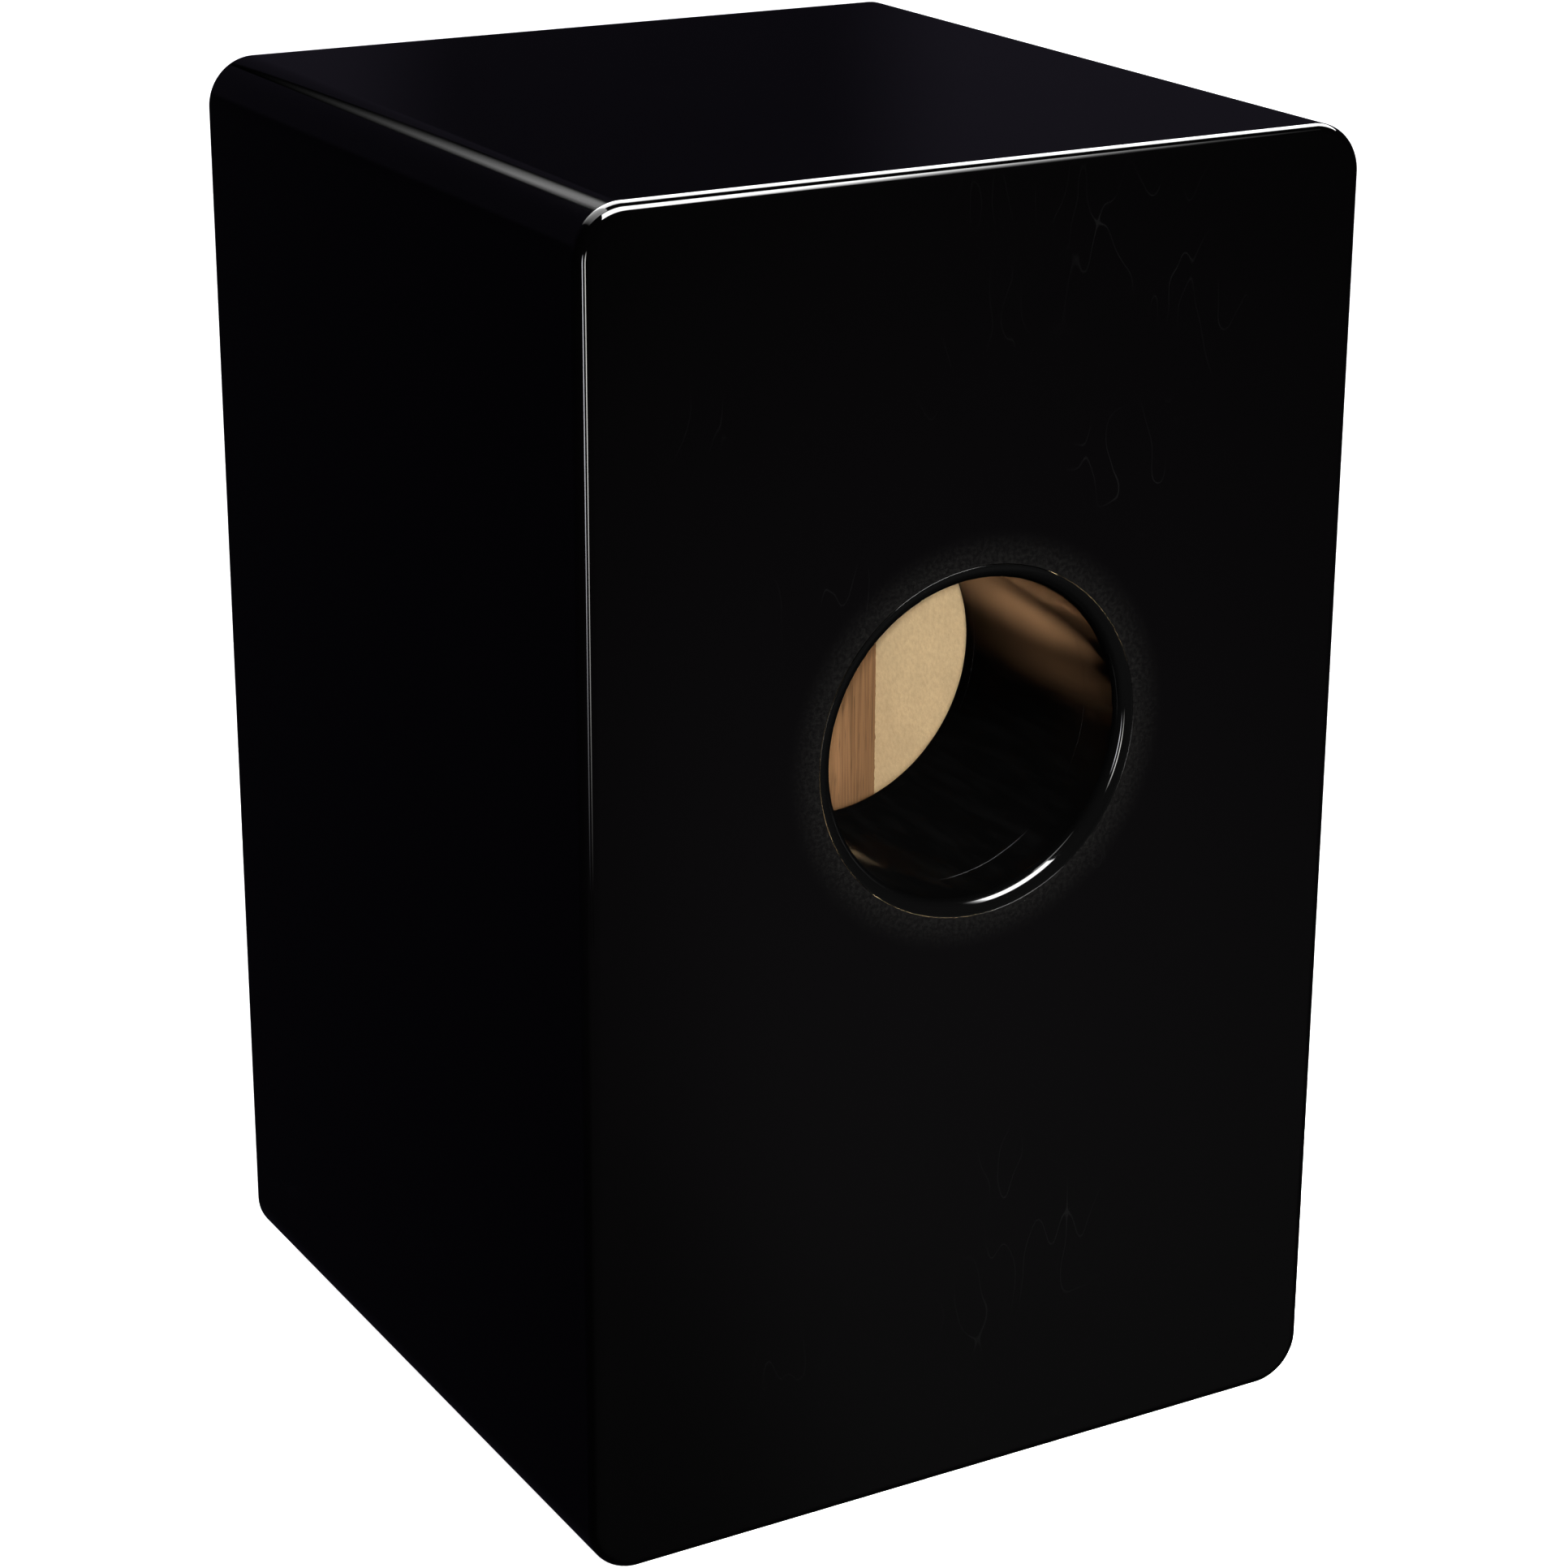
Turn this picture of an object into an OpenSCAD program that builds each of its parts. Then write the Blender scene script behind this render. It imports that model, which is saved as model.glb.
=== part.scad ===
// Cajon: a wooden box drum with a thin striking face (the tapa) in front, a flared
// bass port in the rear board and two adjustable pairs of steel strings behind the tapa.
// Frame: origin on the floor under the middle of the box, +Z up, the tapa faces -Y,
// the rear board is at +Y, and +X is the right-hand side seen from the front.
// All sizes are in millimetres.

/* [Cabinet] */
// Width of the cabinet from side to side
cab_w = 300; // [250:1:360]
// Depth of the cabinet from the tapa's face to the rear face
cab_d = 300; // [250:1:360]
// Height of the cabinet without its feet
cab_h = 480; // [400:1:580]
// Thickness of the side, top and bottom boards
wall_t = 12; // [10:0.2:15]
// Thickness of the rear board
back_t = 12; // [10:0.2:15]
// Outside radius of the four long edges
edge_r = 18; // [15:0.2:22]
// Radius of the round-over round the rear face
rear_r = 5; // [3:0.2:7]

/* [Tapa and battens] */
// Thickness of the plywood tapa
tapa_t = 3; // [2.5:0.1:4]
// Screws down each side of the tapa
side_screws = 5; // [3:1:7]
// Screws along the tapa's top edge, and along its bottom edge
end_screws = 3; // [2:1:5]
// Height of the batten behind the tapa's top edge, which the strings hang from
batten_h = 20; // [16:0.5:24]
// Depth of that batten, front to back
batten_d = 10; // [9:0.5:14]
// Side of the glue battens in the long corners
corner_s = 14; // [10:0.5:20]

/* [Port] */
// Inner radius of the port
port_r = 57.2; // [47:0.2:69]
// Height of the port's axis above the cabinet's underside
port_z = 281.5; // [200:0.5:300]
// Length of the port from the rear face to its inner mouth
port_len = 104; // [85:1:125]
// Wall thickness of the port's neck and tube
port_wall = 2.4; // [2:0.1:3]
// Radius of the rounded lip at the rear face
lip_r = 5; // [4:0.1:6]
// Radius of the flare at the inner mouth
flare_r = 7; // [5:0.1:9]

/* [Strings] */
// Distance of each string pair from the middle of the tapa
pair_x = 62; // [52:1:74]
// Distance between the two strings of a pair
pair_gap = 18; // [16:0.5:21]
// Diameter of a string
string_d = 0.9; // [0.6:0.05:1.1]
// Diameter of the tension bolts
bolt_d = 5; // [4:0.5:6]
// Length of the tension bolts under the head
bolt_len = 30; // [25:1:36]
// Width of a string carriage
carriage_w = 26; // [25:0.5:31]
// Height of a string carriage
carriage_h = 8; // [7:0.5:9]

/* [Feet] */
// Largest diameter of a rubber foot
foot_d = 30; // [25:0.5:36]
// Height of a foot
foot_h = 8; // [7:0.5:10]
// Distance of each foot's centre from the cabinet's outside faces
foot_in = 40; // [33:1:48]

/* [Hidden] */
$fn = 96;
// Gap round parts that are glued or fitted into a hole
fit = 0.05;
// Gap round the port where it is glued into the rear board
seam = 0.15;
// Gap round parts that only pass through a hole
clear = 0.25;
// Gap between parts that move past each other
gap = 0.3;
// How far a cut runs past the face it opens
over = 1;
// Depth left free beyond the tip of a screw
tip_room = 1;

// Planes of the cabinet
x_out = cab_w / 2;
x_in = x_out - wall_t;
y_front = -cab_d / 2;
y_rear = cab_d / 2;
y_seat = y_front + tapa_t;
y_back = y_rear - back_t;
z_low = foot_h;
z_high = foot_h + cab_h;
z_floor = z_low + wall_t;
z_roof = z_high - wall_t;
z_mid = (z_low + z_high) / 2;

// Battens
y_batten = y_seat + batten_d;
z_batten = z_roof - batten_h;
corner_cut = corner_s / 3;

// Tapa screws: countersunk, into the middle of the boards' front ends
tapa_screw_r = 1.75;
tapa_head_r = 3.5;
tapa_head_h = 1.9;
tapa_screw_len = 19;
rim = wall_t / 2;
side_margin = 16;
side_first = edge_r + side_margin;
side_step = (cab_h - 2 * side_first) / (side_screws - 1);
end_margin = 26;
end_first = edge_r + end_margin;
end_step = (cab_w - 2 * end_first) / (end_screws - 1);

// Port, measured inwards from the rear face
z_port = z_low + port_z;
neck_r = port_r + port_wall;
flange_land = 0.4;
flange_r = port_r + lip_r + flange_land;
neck_proud = 10;
neck_end = back_t + neck_proud;
sleeve_wall = 2.2;
sleeve_lap = 9;
mouth_straight = 3;
tube_end = port_len - flare_r - mouth_straight;
flare_lap = 12;
bead_r = 1.5;

// Strings and their hardware
string_off = 1.9;
y_string = y_seat + string_off;
string_room = 0.15;
string_hole_r = string_d / 2 + string_room;
ball_r = 1.6;
ball_w = 3.4;
pocket_r = 2.6;
pocket_h = 5;
plate_t = 2;
plate_front = y_seat + clear;
plate_margin = 12;
plate_x = pair_x + pair_gap / 2 + plate_margin;
plate_screw_in = 5;
plate_screw_x = plate_x - plate_screw_in;
plate_screw_back = 1;
y_plate_screw = (y_seat + y_batten) / 2 + plate_screw_back;
z_plate = z_batten - plate_t;
small_screw_r = 1.5;
small_head_r = 2.9;
small_head_h = 1.9;
slot_w = 0.8;
slot_depth = 0.8;
cross_len = 3.6;
cross_w = 0.8;
cross_depth = 1.2;
plate_screw_len = 13;

// Tension bolts and their brackets. The bolt's head and key grow with its diameter
bolt_r = bolt_d / 2;
head_ratio = 0.85;
head_r = bolt_d * head_ratio;
head_h = bolt_d;
key_ratio = 0.46;
key_r = bolt_d * key_ratio;
key_depth_ratio = 0.56;
key_depth = bolt_d * key_depth_ratio;
washer_rim = 1.2;
washer_r = head_r + washer_rim;
washer_t = 1;
counterbore_room = 1;
counterbore_r = washer_r + counterbore_room;
bracket_lap = 4;
bracket_front = y_batten - bracket_lap;
bolt_back = 7.5;
y_bolt = bracket_front + bolt_back;
z_head = z_low;
z_seat = z_head + head_h + washer_t + fit;
clip_rim = 2.4;
clip_r = bolt_r + clip_rim;
clip_t = 1;
z_clip = z_floor + plate_t + gap;
travel = 2;
carriage_room = 0.45;
carriage_front = y_seat + carriage_room;
carriage_back = y_bolt + bolt_back;
ferrule_room = 5;
carriage_up = z_clip + clip_t + gap + travel + ferrule_room;
upright_x = carriage_w / 2 + gap;
upright_t = 2;
upright_over = 2;
upright_top = carriage_up + carriage_h + travel + upright_over;
bracket_wing = 10;
bracket_x = upright_x + upright_t + bracket_wing;
bracket_screw_out = 5.5;
bracket_screw_x = upright_x + upright_t + bracket_screw_out;
bracket_behind = 1.5;
bracket_back = carriage_back + bracket_behind;
bracket_screw_len = 9.5;
ferrule_r = 1.4;
ferrule_h = 4;

// Feet
foot_taper = 2;
foot_low_r = foot_d / 2 - foot_taper;
foot_well_r = 5;
foot_well = foot_h / 2;
foot_screw_r = 1.9;
foot_head_r = 3.6;
foot_head_h = 2.2;
foot_washer_r = 4.6;
foot_washer_t = 0.8;
// Share of the bottom board that the foot screws bite into
foot_bite = 0.75;
foot_grip = wall_t * foot_bite;

// Colours
lacquer = [0.02, 0.02, 0.025];
hardwood = [0.45, 0.26, 0.16];
black_plastic = [0.03, 0.03, 0.03];
black_steel = [0.06, 0.06, 0.06];
steel = [0.62, 0.63, 0.65];
brass = [0.75, 0.6, 0.3];
rubber = [0.05, 0.05, 0.05];

// ---------- shared shapes ----------

// Rectangle with round corners, centred on the origin
module round_rect(w, h, r) {
  union() {
    square([w - 2 * r, h], center = true);
    square([w, h - 2 * r], center = true);
    for (sx = [-1, 1], sy = [-1, 1])
      translate([sx * (w / 2 - r), sy * (h / 2 - r)]) circle(r);
  }
}

// Stands a drawing made in X and Z on its plane and extrudes it from y0 back to y1
module along_y(y0, y1) {
  translate([0, y1, 0]) rotate([90, 0, 0]) linear_extrude(y1 - y0) children();
}

// Turns a drawing made in radius and depth round the port's axis, depth 0 at the rear face
module round_port() {
  translate([0, y_rear, z_port]) rotate([90, 0, 0]) rotate_extrude() children();
}

// Cylinder that points along +Y from y0
module pin_y(r, y0, len) {
  translate([0, y0, 0]) rotate([-90, 0, 0]) cylinder(r = r, h = len);
}

// Outline of the cabinet seen from the front
module cabinet_outline() {
  translate([0, z_mid]) round_rect(cab_w, cab_h, edge_r);
}

// Calls its children at each tapa screw
module at_tapa_screws() {
  for (s = [-1, 1], i = [0 : side_screws - 1])
    translate([s * (x_out - rim), 0, z_low + side_first + i * side_step]) children();
  for (z = [z_low + rim, z_high - rim], i = [0 : end_screws - 1])
    translate([-x_out + end_first + i * end_step, 0, z]) children();
}

// Calls its children at each foot
module at_feet() {
  for (sx = [-1, 1], sy = [-1, 1])
    translate([sx * (x_out - foot_in), sy * (y_rear - foot_in), 0]) children();
}

// Calls its children at each tension bolt
module at_bolts() {
  for (s = [-1, 1]) translate([s * pair_x, y_bolt, 0]) children();
}

// Calls its children at the two strings of the pair on side s
module at_strings(s) {
  for (t = [-1, 1]) translate([s * pair_x + t * pair_gap / 2, y_string, 0]) children();
}

// Calls its children at each screw of the anchor plate
module at_plate_screws() {
  for (x = [-plate_screw_x, 0, plate_screw_x])
    translate([x, y_plate_screw, 0]) children();
}

// Calls its children at each screw of the guide brackets
module at_bracket_screws() {
  at_bolts()
    for (t = [-1, 1]) translate([t * bracket_screw_x, 0, 0]) children();
}

// Pilot holes in the boards' front ends
module tapa_pilots() {
  at_tapa_screws()
    pin_y(tapa_screw_r + fit, y_seat - over, tapa_screw_len - tapa_t + over + tip_room);
}

// One board of the mitred shell, between two corners of the cabinet's outline
module mitred_board(corners) {
  difference() {
    along_y(y_seat, y_back)
      intersection() {
        cabinet_outline();
        polygon(corners);
      }
    tapa_pilots();
  }
}

// ---------- cabinet ----------

module top_panel() {
  color(lacquer)
    mitred_board([[-x_out, z_high], [x_out, z_high], [x_in, z_roof], [-x_in, z_roof]]);
}

module bottom_panel() {
  color(lacquer) difference() {
    mitred_board([[-x_out, z_low], [-x_in, z_floor], [x_in, z_floor], [x_out, z_low]]);
    at_bolts() {
      translate([0, 0, z_low - over]) cylinder(r = counterbore_r, h = z_seat - z_low + over);
      translate([0, 0, z_low]) cylinder(r = bolt_r + clear, h = wall_t + over);
    }
    at_feet() translate([0, 0, z_low - over]) cylinder(r = foot_screw_r + fit, h = foot_grip + 2 * over);
    at_bracket_screws()
      translate([0, 0, z_floor + plate_t - bracket_screw_len - tip_room])
        cylinder(r = small_screw_r + fit, h = bracket_screw_len + tip_room);
  }
}

// Side board at the side s of the cabinet
module side_panel(s) {
  color(lacquer)
    mitred_board([
      [s * x_out, z_low], [s * x_out, z_high], [s * x_in, z_roof], [s * x_in, z_floor]
    ]);
}

module side_panel_left() { side_panel(-1); }

module side_panel_right() { side_panel(1); }

// Rear board with the round-over on its outer edge and the seat for the port's flange
module back_panel() {
  color(lacquer) difference() {
    union() {
      along_y(y_back, y_rear - rear_r) cabinet_outline();
      along_y(y_back, y_rear)
        translate([0, z_mid]) round_rect(cab_w - 2 * rear_r, cab_h - 2 * rear_r, edge_r - rear_r);
      for (s = [-1, 1]) {
        translate([s * (x_out - rear_r), y_rear - rear_r, z_mid])
          cylinder(r = rear_r, h = cab_h - 2 * edge_r, center = true);
        translate([0, y_rear - rear_r, z_mid + s * (cab_h / 2 - rear_r)]) rotate([0, 90, 0])
          cylinder(r = rear_r, h = cab_w - 2 * edge_r, center = true);
      }
      for (sx = [-1, 1], sz = [-1, 1])
        translate([sx * (x_out - edge_r), y_rear - rear_r, z_mid + sz * (cab_h / 2 - edge_r)])
          rotate([90, 0, 0]) rotate_extrude() translate([edge_r - rear_r, 0]) circle(rear_r);
    }
    translate([0, 0, z_port]) {
      pin_y(neck_r + seam, y_back - over, back_t + 2 * over);
      pin_y(flange_r + seam, y_rear - lip_r, lip_r + over);
    }
  }
}

// Glue batten in the long corner at side s, under the top (t = 1) or on the bottom (t = -1)
module corner_batten(s, t) {
  color(hardwood) translate([s * x_in, 0, z_mid + t * (z_roof - z_floor) / 2])
    along_y(y_batten, y_back)
      polygon([
        [0, 0], [-s * corner_s, 0], [-s * corner_s, -t * (corner_s - corner_cut)],
        [-s * (corner_s - corner_cut), -t * corner_s], [0, -t * corner_s]
      ]);
}

module corner_batten_top_left() { corner_batten(-1, 1); }

module corner_batten_top_right() { corner_batten(1, 1); }

module corner_batten_bottom_left() { corner_batten(-1, -1); }

module corner_batten_bottom_right() { corner_batten(1, -1); }

// Batten glued under the top board behind the tapa, with open pockets for the strings' ball ends
module string_batten() {
  color(hardwood) difference() {
    translate([-x_in, y_seat, z_batten]) cube([2 * x_in, batten_d, batten_h]);
    for (s = [-1, 1])
      at_strings(s) translate([0, 0, z_batten - over]) cylinder(r = pocket_r, h = pocket_h + over);
    at_plate_screws()
      translate([0, 0, z_batten - over])
        cylinder(r = small_screw_r + fit, h = plate_screw_len - plate_t + over + tip_room);
  }
}

// ---------- tapa ----------

module tapa() {
  color(lacquer) difference() {
    along_y(y_front, y_seat) cabinet_outline();
    at_tapa_screws() {
      pin_y(tapa_screw_r + fit, y_front - over, tapa_t + 2 * over);
      translate([0, y_front, 0]) rotate([-90, 0, 0])
        cylinder(r1 = tapa_head_r, r2 = tapa_screw_r, h = tapa_head_h);
    }
  }
}

// Countersunk wood screws with a cross recess, one piece each
module tapa_screws() {
  color(black_steel) at_tapa_screws()
    difference() {
      union() {
        translate([0, y_front, 0]) rotate([-90, 0, 0])
          cylinder(r1 = tapa_head_r, r2 = tapa_screw_r, h = tapa_head_h);
        pin_y(tapa_screw_r, y_front, tapa_screw_len);
      }
      for (a = [0, 90])
        translate([0, y_front, 0]) rotate([0, a, 0])
          cube([cross_len, 2 * cross_depth, cross_w], center = true);
    }
}

// ---------- port ----------

// Rounded lip flush with the rear face, and the neck that runs through the board
module port_flange() {
  color(black_plastic) round_port() union() {
    intersection() {
      translate([port_r, 0]) square([lip_r, lip_r]);
      translate([port_r + lip_r, lip_r]) circle(lip_r);
    }
    translate([port_r + lip_r, 0]) square([flange_r - port_r - lip_r, lip_r]);
    translate([port_r, lip_r]) square([port_wall, neck_end - lip_r]);
  }
}

// Sleeve that joins the neck and the tube from outside
module port_sleeve() {
  color(black_plastic) round_port()
    translate([neck_r + fit, neck_end - sleeve_lap]) square([sleeve_wall, 2 * sleeve_lap]);
}

module port_tube() {
  color(black_plastic) round_port()
    translate([port_r, neck_end]) square([port_wall, tube_end - neck_end]);
}

// Inner mouth: a socket over the tube's end and a trumpet with a beaded rim
module port_flare() {
  color(black_plastic) round_port() union() {
    translate([neck_r + fit, tube_end - flare_lap]) square([sleeve_wall, flare_lap]);
    translate([port_r, tube_end]) square([neck_r + fit + sleeve_wall - port_r, port_wall]);
    translate([port_r, tube_end]) square([port_wall, port_len - flare_r - tube_end]);
    intersection() {
      translate([port_r, port_len - flare_r]) square([flare_r, flare_r]);
      difference() {
        translate([port_r + flare_r, port_len - flare_r]) circle(flare_r);
        translate([port_r + flare_r, port_len - flare_r]) circle(flare_r - port_wall);
      }
    }
    translate([port_r + flare_r, port_len - port_wall / 2]) circle(bead_r);
  }
}

// ---------- strings ----------

// Steel strip under the top batten that the strings hang from
module anchor_plate() {
  color(steel) difference() {
    translate([-plate_x, plate_front, z_plate])
      cube([2 * plate_x, y_batten - plate_front, plate_t]);
    for (s = [-1, 1])
      at_strings(s) translate([0, 0, z_plate - over]) cylinder(r = string_hole_r, h = plate_t + 2 * over);
    at_plate_screws() translate([0, 0, z_plate - over])
      cylinder(r = small_screw_r + clear, h = plate_t + 2 * over);
  }
}

// Screw with a flat round head and a slot, its head's bearing face at z = 0, shank along +Z
module small_screw(len) {
  difference() {
    union() {
      translate([0, 0, -small_head_h]) cylinder(r = small_head_r, h = small_head_h);
      translate([0, 0, -small_head_h]) cylinder(r = small_screw_r, h = len + small_head_h);
    }
    translate([0, 0, -small_head_h])
      cube([slot_w, 2 * small_head_r + over, 2 * slot_depth], center = true);
  }
}

module anchor_screws() {
  color(steel) at_plate_screws() translate([0, 0, z_plate]) small_screw(plate_screw_len);
}

// Brass ball ends that rest on the anchor plate, one on each string
module string_balls() {
  color(brass)
    for (s = [-1, 1]) at_strings(s) translate([0, 0, z_batten + ball_r]) difference() {
      rotate([0, 90, 0]) cylinder(r = ball_r, h = ball_w, center = true);
      translate([0, 0, -ball_r - over]) cylinder(r = string_d / 2 + fit, h = ball_r + over);
    }
}

// The two strings of the pair on side s, from the ball ends down into the ferrules
module strings(s) {
  color(steel) at_strings(s)
    translate([0, 0, carriage_up - ferrule_h])
      cylinder(r = string_d / 2, h = z_batten + ball_r - carriage_up + ferrule_h);
}

module strings_left() { strings(-1); }

module strings_right() { strings(1); }

// Crimped ferrules that hold the strings under the carriage on side s
module string_ferrules(s) {
  color(brass) at_strings(s) translate([0, 0, carriage_up - ferrule_h]) difference() {
    cylinder(r = ferrule_r, h = ferrule_h);
    translate([0, 0, -over]) cylinder(r = string_d / 2 + fit, h = ferrule_h + 2 * over);
  }
}

module string_ferrules_left() { string_ferrules(-1); }

module string_ferrules_right() { string_ferrules(1); }

// Block that the bolt draws down to tighten the strings on side s
module string_carriage(s) {
  color(steel) difference() {
    translate([s * pair_x - carriage_w / 2, carriage_front, carriage_up])
      cube([carriage_w, carriage_back - carriage_front, carriage_h]);
    translate([s * pair_x, y_bolt, carriage_up - over])
      cylinder(r = bolt_r + fit, h = carriage_h + 2 * over);
    at_strings(s) translate([0, 0, carriage_up - over])
      cylinder(r = string_hole_r, h = carriage_h + 2 * over);
  }
}

module string_carriage_left() { string_carriage(-1); }

module string_carriage_right() { string_carriage(1); }

// Base plate with two uprights that keep the carriage on side s from turning
module guide_bracket(s) {
  color(steel) translate([s * pair_x, 0, z_floor]) difference() {
    union() {
      translate([-bracket_x, bracket_front, 0])
        cube([2 * bracket_x, bracket_back - bracket_front, plate_t]);
      for (t = [-1, 1])
        translate([t * (upright_x + upright_t / 2) - upright_t / 2, bracket_front, 0])
          cube([upright_t, bracket_back - bracket_front, upright_top - z_floor]);
    }
    translate([0, y_bolt, -over]) cylinder(r = bolt_r + clear, h = plate_t + 2 * over);
    for (t = [-1, 1]) translate([t * bracket_screw_x, y_bolt, -over])
      cylinder(r = small_screw_r + clear, h = plate_t + 2 * over);
  }
}

module guide_bracket_left() { guide_bracket(-1); }

module guide_bracket_right() { guide_bracket(1); }

module bracket_screws() {
  color(steel) at_bracket_screws()
    translate([0, 0, z_floor + plate_t]) mirror([0, 0, 1]) small_screw(bracket_screw_len);
}

// Socket-headed bolt, its head in the bottom board's counterbore, on side s
module tension_bolt(s) {
  color(steel) translate([s * pair_x, y_bolt, z_head]) difference() {
    union() {
      cylinder(r = head_r, h = head_h);
      cylinder(r = bolt_r, h = head_h + bolt_len);
    }
    translate([0, 0, -over]) cylinder(r = key_r, h = key_depth + over, $fn = 6);
  }
}

module tension_bolt_left() { tension_bolt(-1); }

module tension_bolt_right() { tension_bolt(1); }

// Push-on ring that keeps the bolt on side s from dropping out
module bolt_clip(s) {
  color(steel) translate([s * pair_x, y_bolt, z_clip]) difference() {
    cylinder(r = clip_r, h = clip_t);
    translate([0, 0, -over]) cylinder(r = bolt_r + fit, h = clip_t + 2 * over);
  }
}

module bolt_clip_left() { bolt_clip(-1); }

module bolt_clip_right() { bolt_clip(1); }

module bolt_washers() {
  color(steel) at_bolts() translate([0, 0, z_seat - washer_t]) difference() {
    cylinder(r = washer_r, h = washer_t);
    translate([0, 0, -over]) cylinder(r = bolt_r + clear, h = washer_t + 2 * over);
  }
}

// ---------- feet ----------

// Tapered rubber foot with a well for its screw, at side sx and front or rear sy
module foot(sx, sy) {
  color(rubber) translate([sx * (x_out - foot_in), sy * (y_rear - foot_in), 0]) difference() {
    cylinder(r1 = foot_low_r, r2 = foot_d / 2, h = foot_h);
    translate([0, 0, -over]) cylinder(r = foot_well_r, h = foot_well + over);
    cylinder(r = foot_screw_r + clear, h = foot_h + over);
  }
}

module foot_front_left() { foot(-1, -1); }

module foot_front_right() { foot(1, -1); }

module foot_rear_left() { foot(-1, 1); }

module foot_rear_right() { foot(1, 1); }

module foot_washers() {
  color(steel) at_feet() translate([0, 0, foot_well - foot_washer_t]) difference() {
    cylinder(r = foot_washer_r, h = foot_washer_t);
    translate([0, 0, -over]) cylinder(r = foot_screw_r + clear, h = foot_washer_t + 2 * over);
  }
}

module foot_screws() {
  color(steel) at_feet() translate([0, 0, foot_well - foot_washer_t - foot_head_h]) difference() {
    union() {
      cylinder(r = foot_head_r, h = foot_head_h);
      cylinder(r = foot_screw_r, h = foot_head_h + foot_washer_t + foot_h - foot_well + foot_grip);
    }
    for (a = [0, 90])
      rotate([0, 0, a]) cube([cross_len, cross_w, 2 * cross_depth], center = true);
  }
}

// ---------- nodes ----------

top_panel();
bottom_panel();
side_panel_left();
side_panel_right();
back_panel();
corner_batten_top_left();
corner_batten_top_right();
corner_batten_bottom_left();
corner_batten_bottom_right();
string_batten();
tapa();
tapa_screws();
port_flange();
port_sleeve();
port_tube();
port_flare();
anchor_plate();
anchor_screws();
string_balls();
strings_left();
strings_right();
guide_bracket_left();
guide_bracket_right();
bracket_screws();
string_carriage_left();
string_carriage_right();
string_ferrules_left();
string_ferrules_right();
tension_bolt_left();
tension_bolt_right();
bolt_clip_left();
bolt_clip_right();
bolt_washers();
foot_front_left();
foot_front_right();
foot_rear_left();
foot_rear_right();
foot_screws();
foot_washers();
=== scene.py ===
"""Cajon: a black lacquered box drum with a ported rear board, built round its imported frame.

Lengths are in metres. The frame stands on z = 0, the tapa faces -Y and the ported rear board +Y.
"""

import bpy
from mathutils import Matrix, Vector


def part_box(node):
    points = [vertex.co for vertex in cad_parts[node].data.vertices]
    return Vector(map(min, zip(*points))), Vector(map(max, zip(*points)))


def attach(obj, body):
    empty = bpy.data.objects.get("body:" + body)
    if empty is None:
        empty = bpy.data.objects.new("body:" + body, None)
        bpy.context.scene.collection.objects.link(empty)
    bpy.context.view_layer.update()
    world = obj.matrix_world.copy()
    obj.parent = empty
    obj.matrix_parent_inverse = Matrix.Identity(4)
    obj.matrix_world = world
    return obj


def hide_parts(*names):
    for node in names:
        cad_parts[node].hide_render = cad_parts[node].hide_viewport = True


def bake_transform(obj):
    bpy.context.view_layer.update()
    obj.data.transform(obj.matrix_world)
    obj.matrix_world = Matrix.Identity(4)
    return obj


bl_info = {
    "name": "Cajon",
    "version": (1, 0, 0),
    "blender": (4, 5, 0),
    "location": "3D View > Sidebar > Cajon",
    "description": "Builds a cajon: lacquered shell, port, tapa, strings, tension bolts and feet",
    "category": "Object",
}

import math
from functools import partial

import bmesh
import bpy
from bpy.props import FloatProperty, FloatVectorProperty, IntProperty, PointerProperty
from mathutils import Matrix, Vector, noise
from mathutils.geometry import tessellate_polygon

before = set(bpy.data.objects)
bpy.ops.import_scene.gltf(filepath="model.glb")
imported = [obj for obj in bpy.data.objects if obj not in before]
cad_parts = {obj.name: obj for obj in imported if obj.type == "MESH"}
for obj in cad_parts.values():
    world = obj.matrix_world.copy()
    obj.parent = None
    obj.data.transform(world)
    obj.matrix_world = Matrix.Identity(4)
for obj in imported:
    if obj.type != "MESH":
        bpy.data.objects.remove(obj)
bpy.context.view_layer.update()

MM = 0.001
TURN = 2 * math.pi
UP = (0, 0, 1)
SIDES = ("left", "right")


# ---------- the frame's planes ----------

def low(node):
    """Lowest corner of a node."""
    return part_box(node)[0]


def high(node):
    """Highest corner of a node."""
    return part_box(node)[1]


def centre_of(node):
    """Middle of a node's box."""
    return (low(node) + high(node)) / 2


X_OUT = high("back_panel").x
X_IN = low("side_panel_right").x
Y_FRONT = low("tapa").y
Y_SEAT = high("tapa").y
Y_BACK = low("back_panel").y
Y_REAR = high("back_panel").y
Z_LOW = low("back_panel").z
Z_HIGH = high("back_panel").z
Z_FLOOR = high("bottom_panel").z
Z_ROOF = low("top_panel").z
Z_PORT = (low("port_tube").z + high("port_tube").z) / 2
PORT_MIDDLE = Vector((0, Y_REAR, Z_PORT))
# The mitred top board ends halfway round the long edge, which gives that edge's radius
EDGE_R = (X_OUT - high("top_panel").x) / (1 - math.cos(math.radians(45)))


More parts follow.
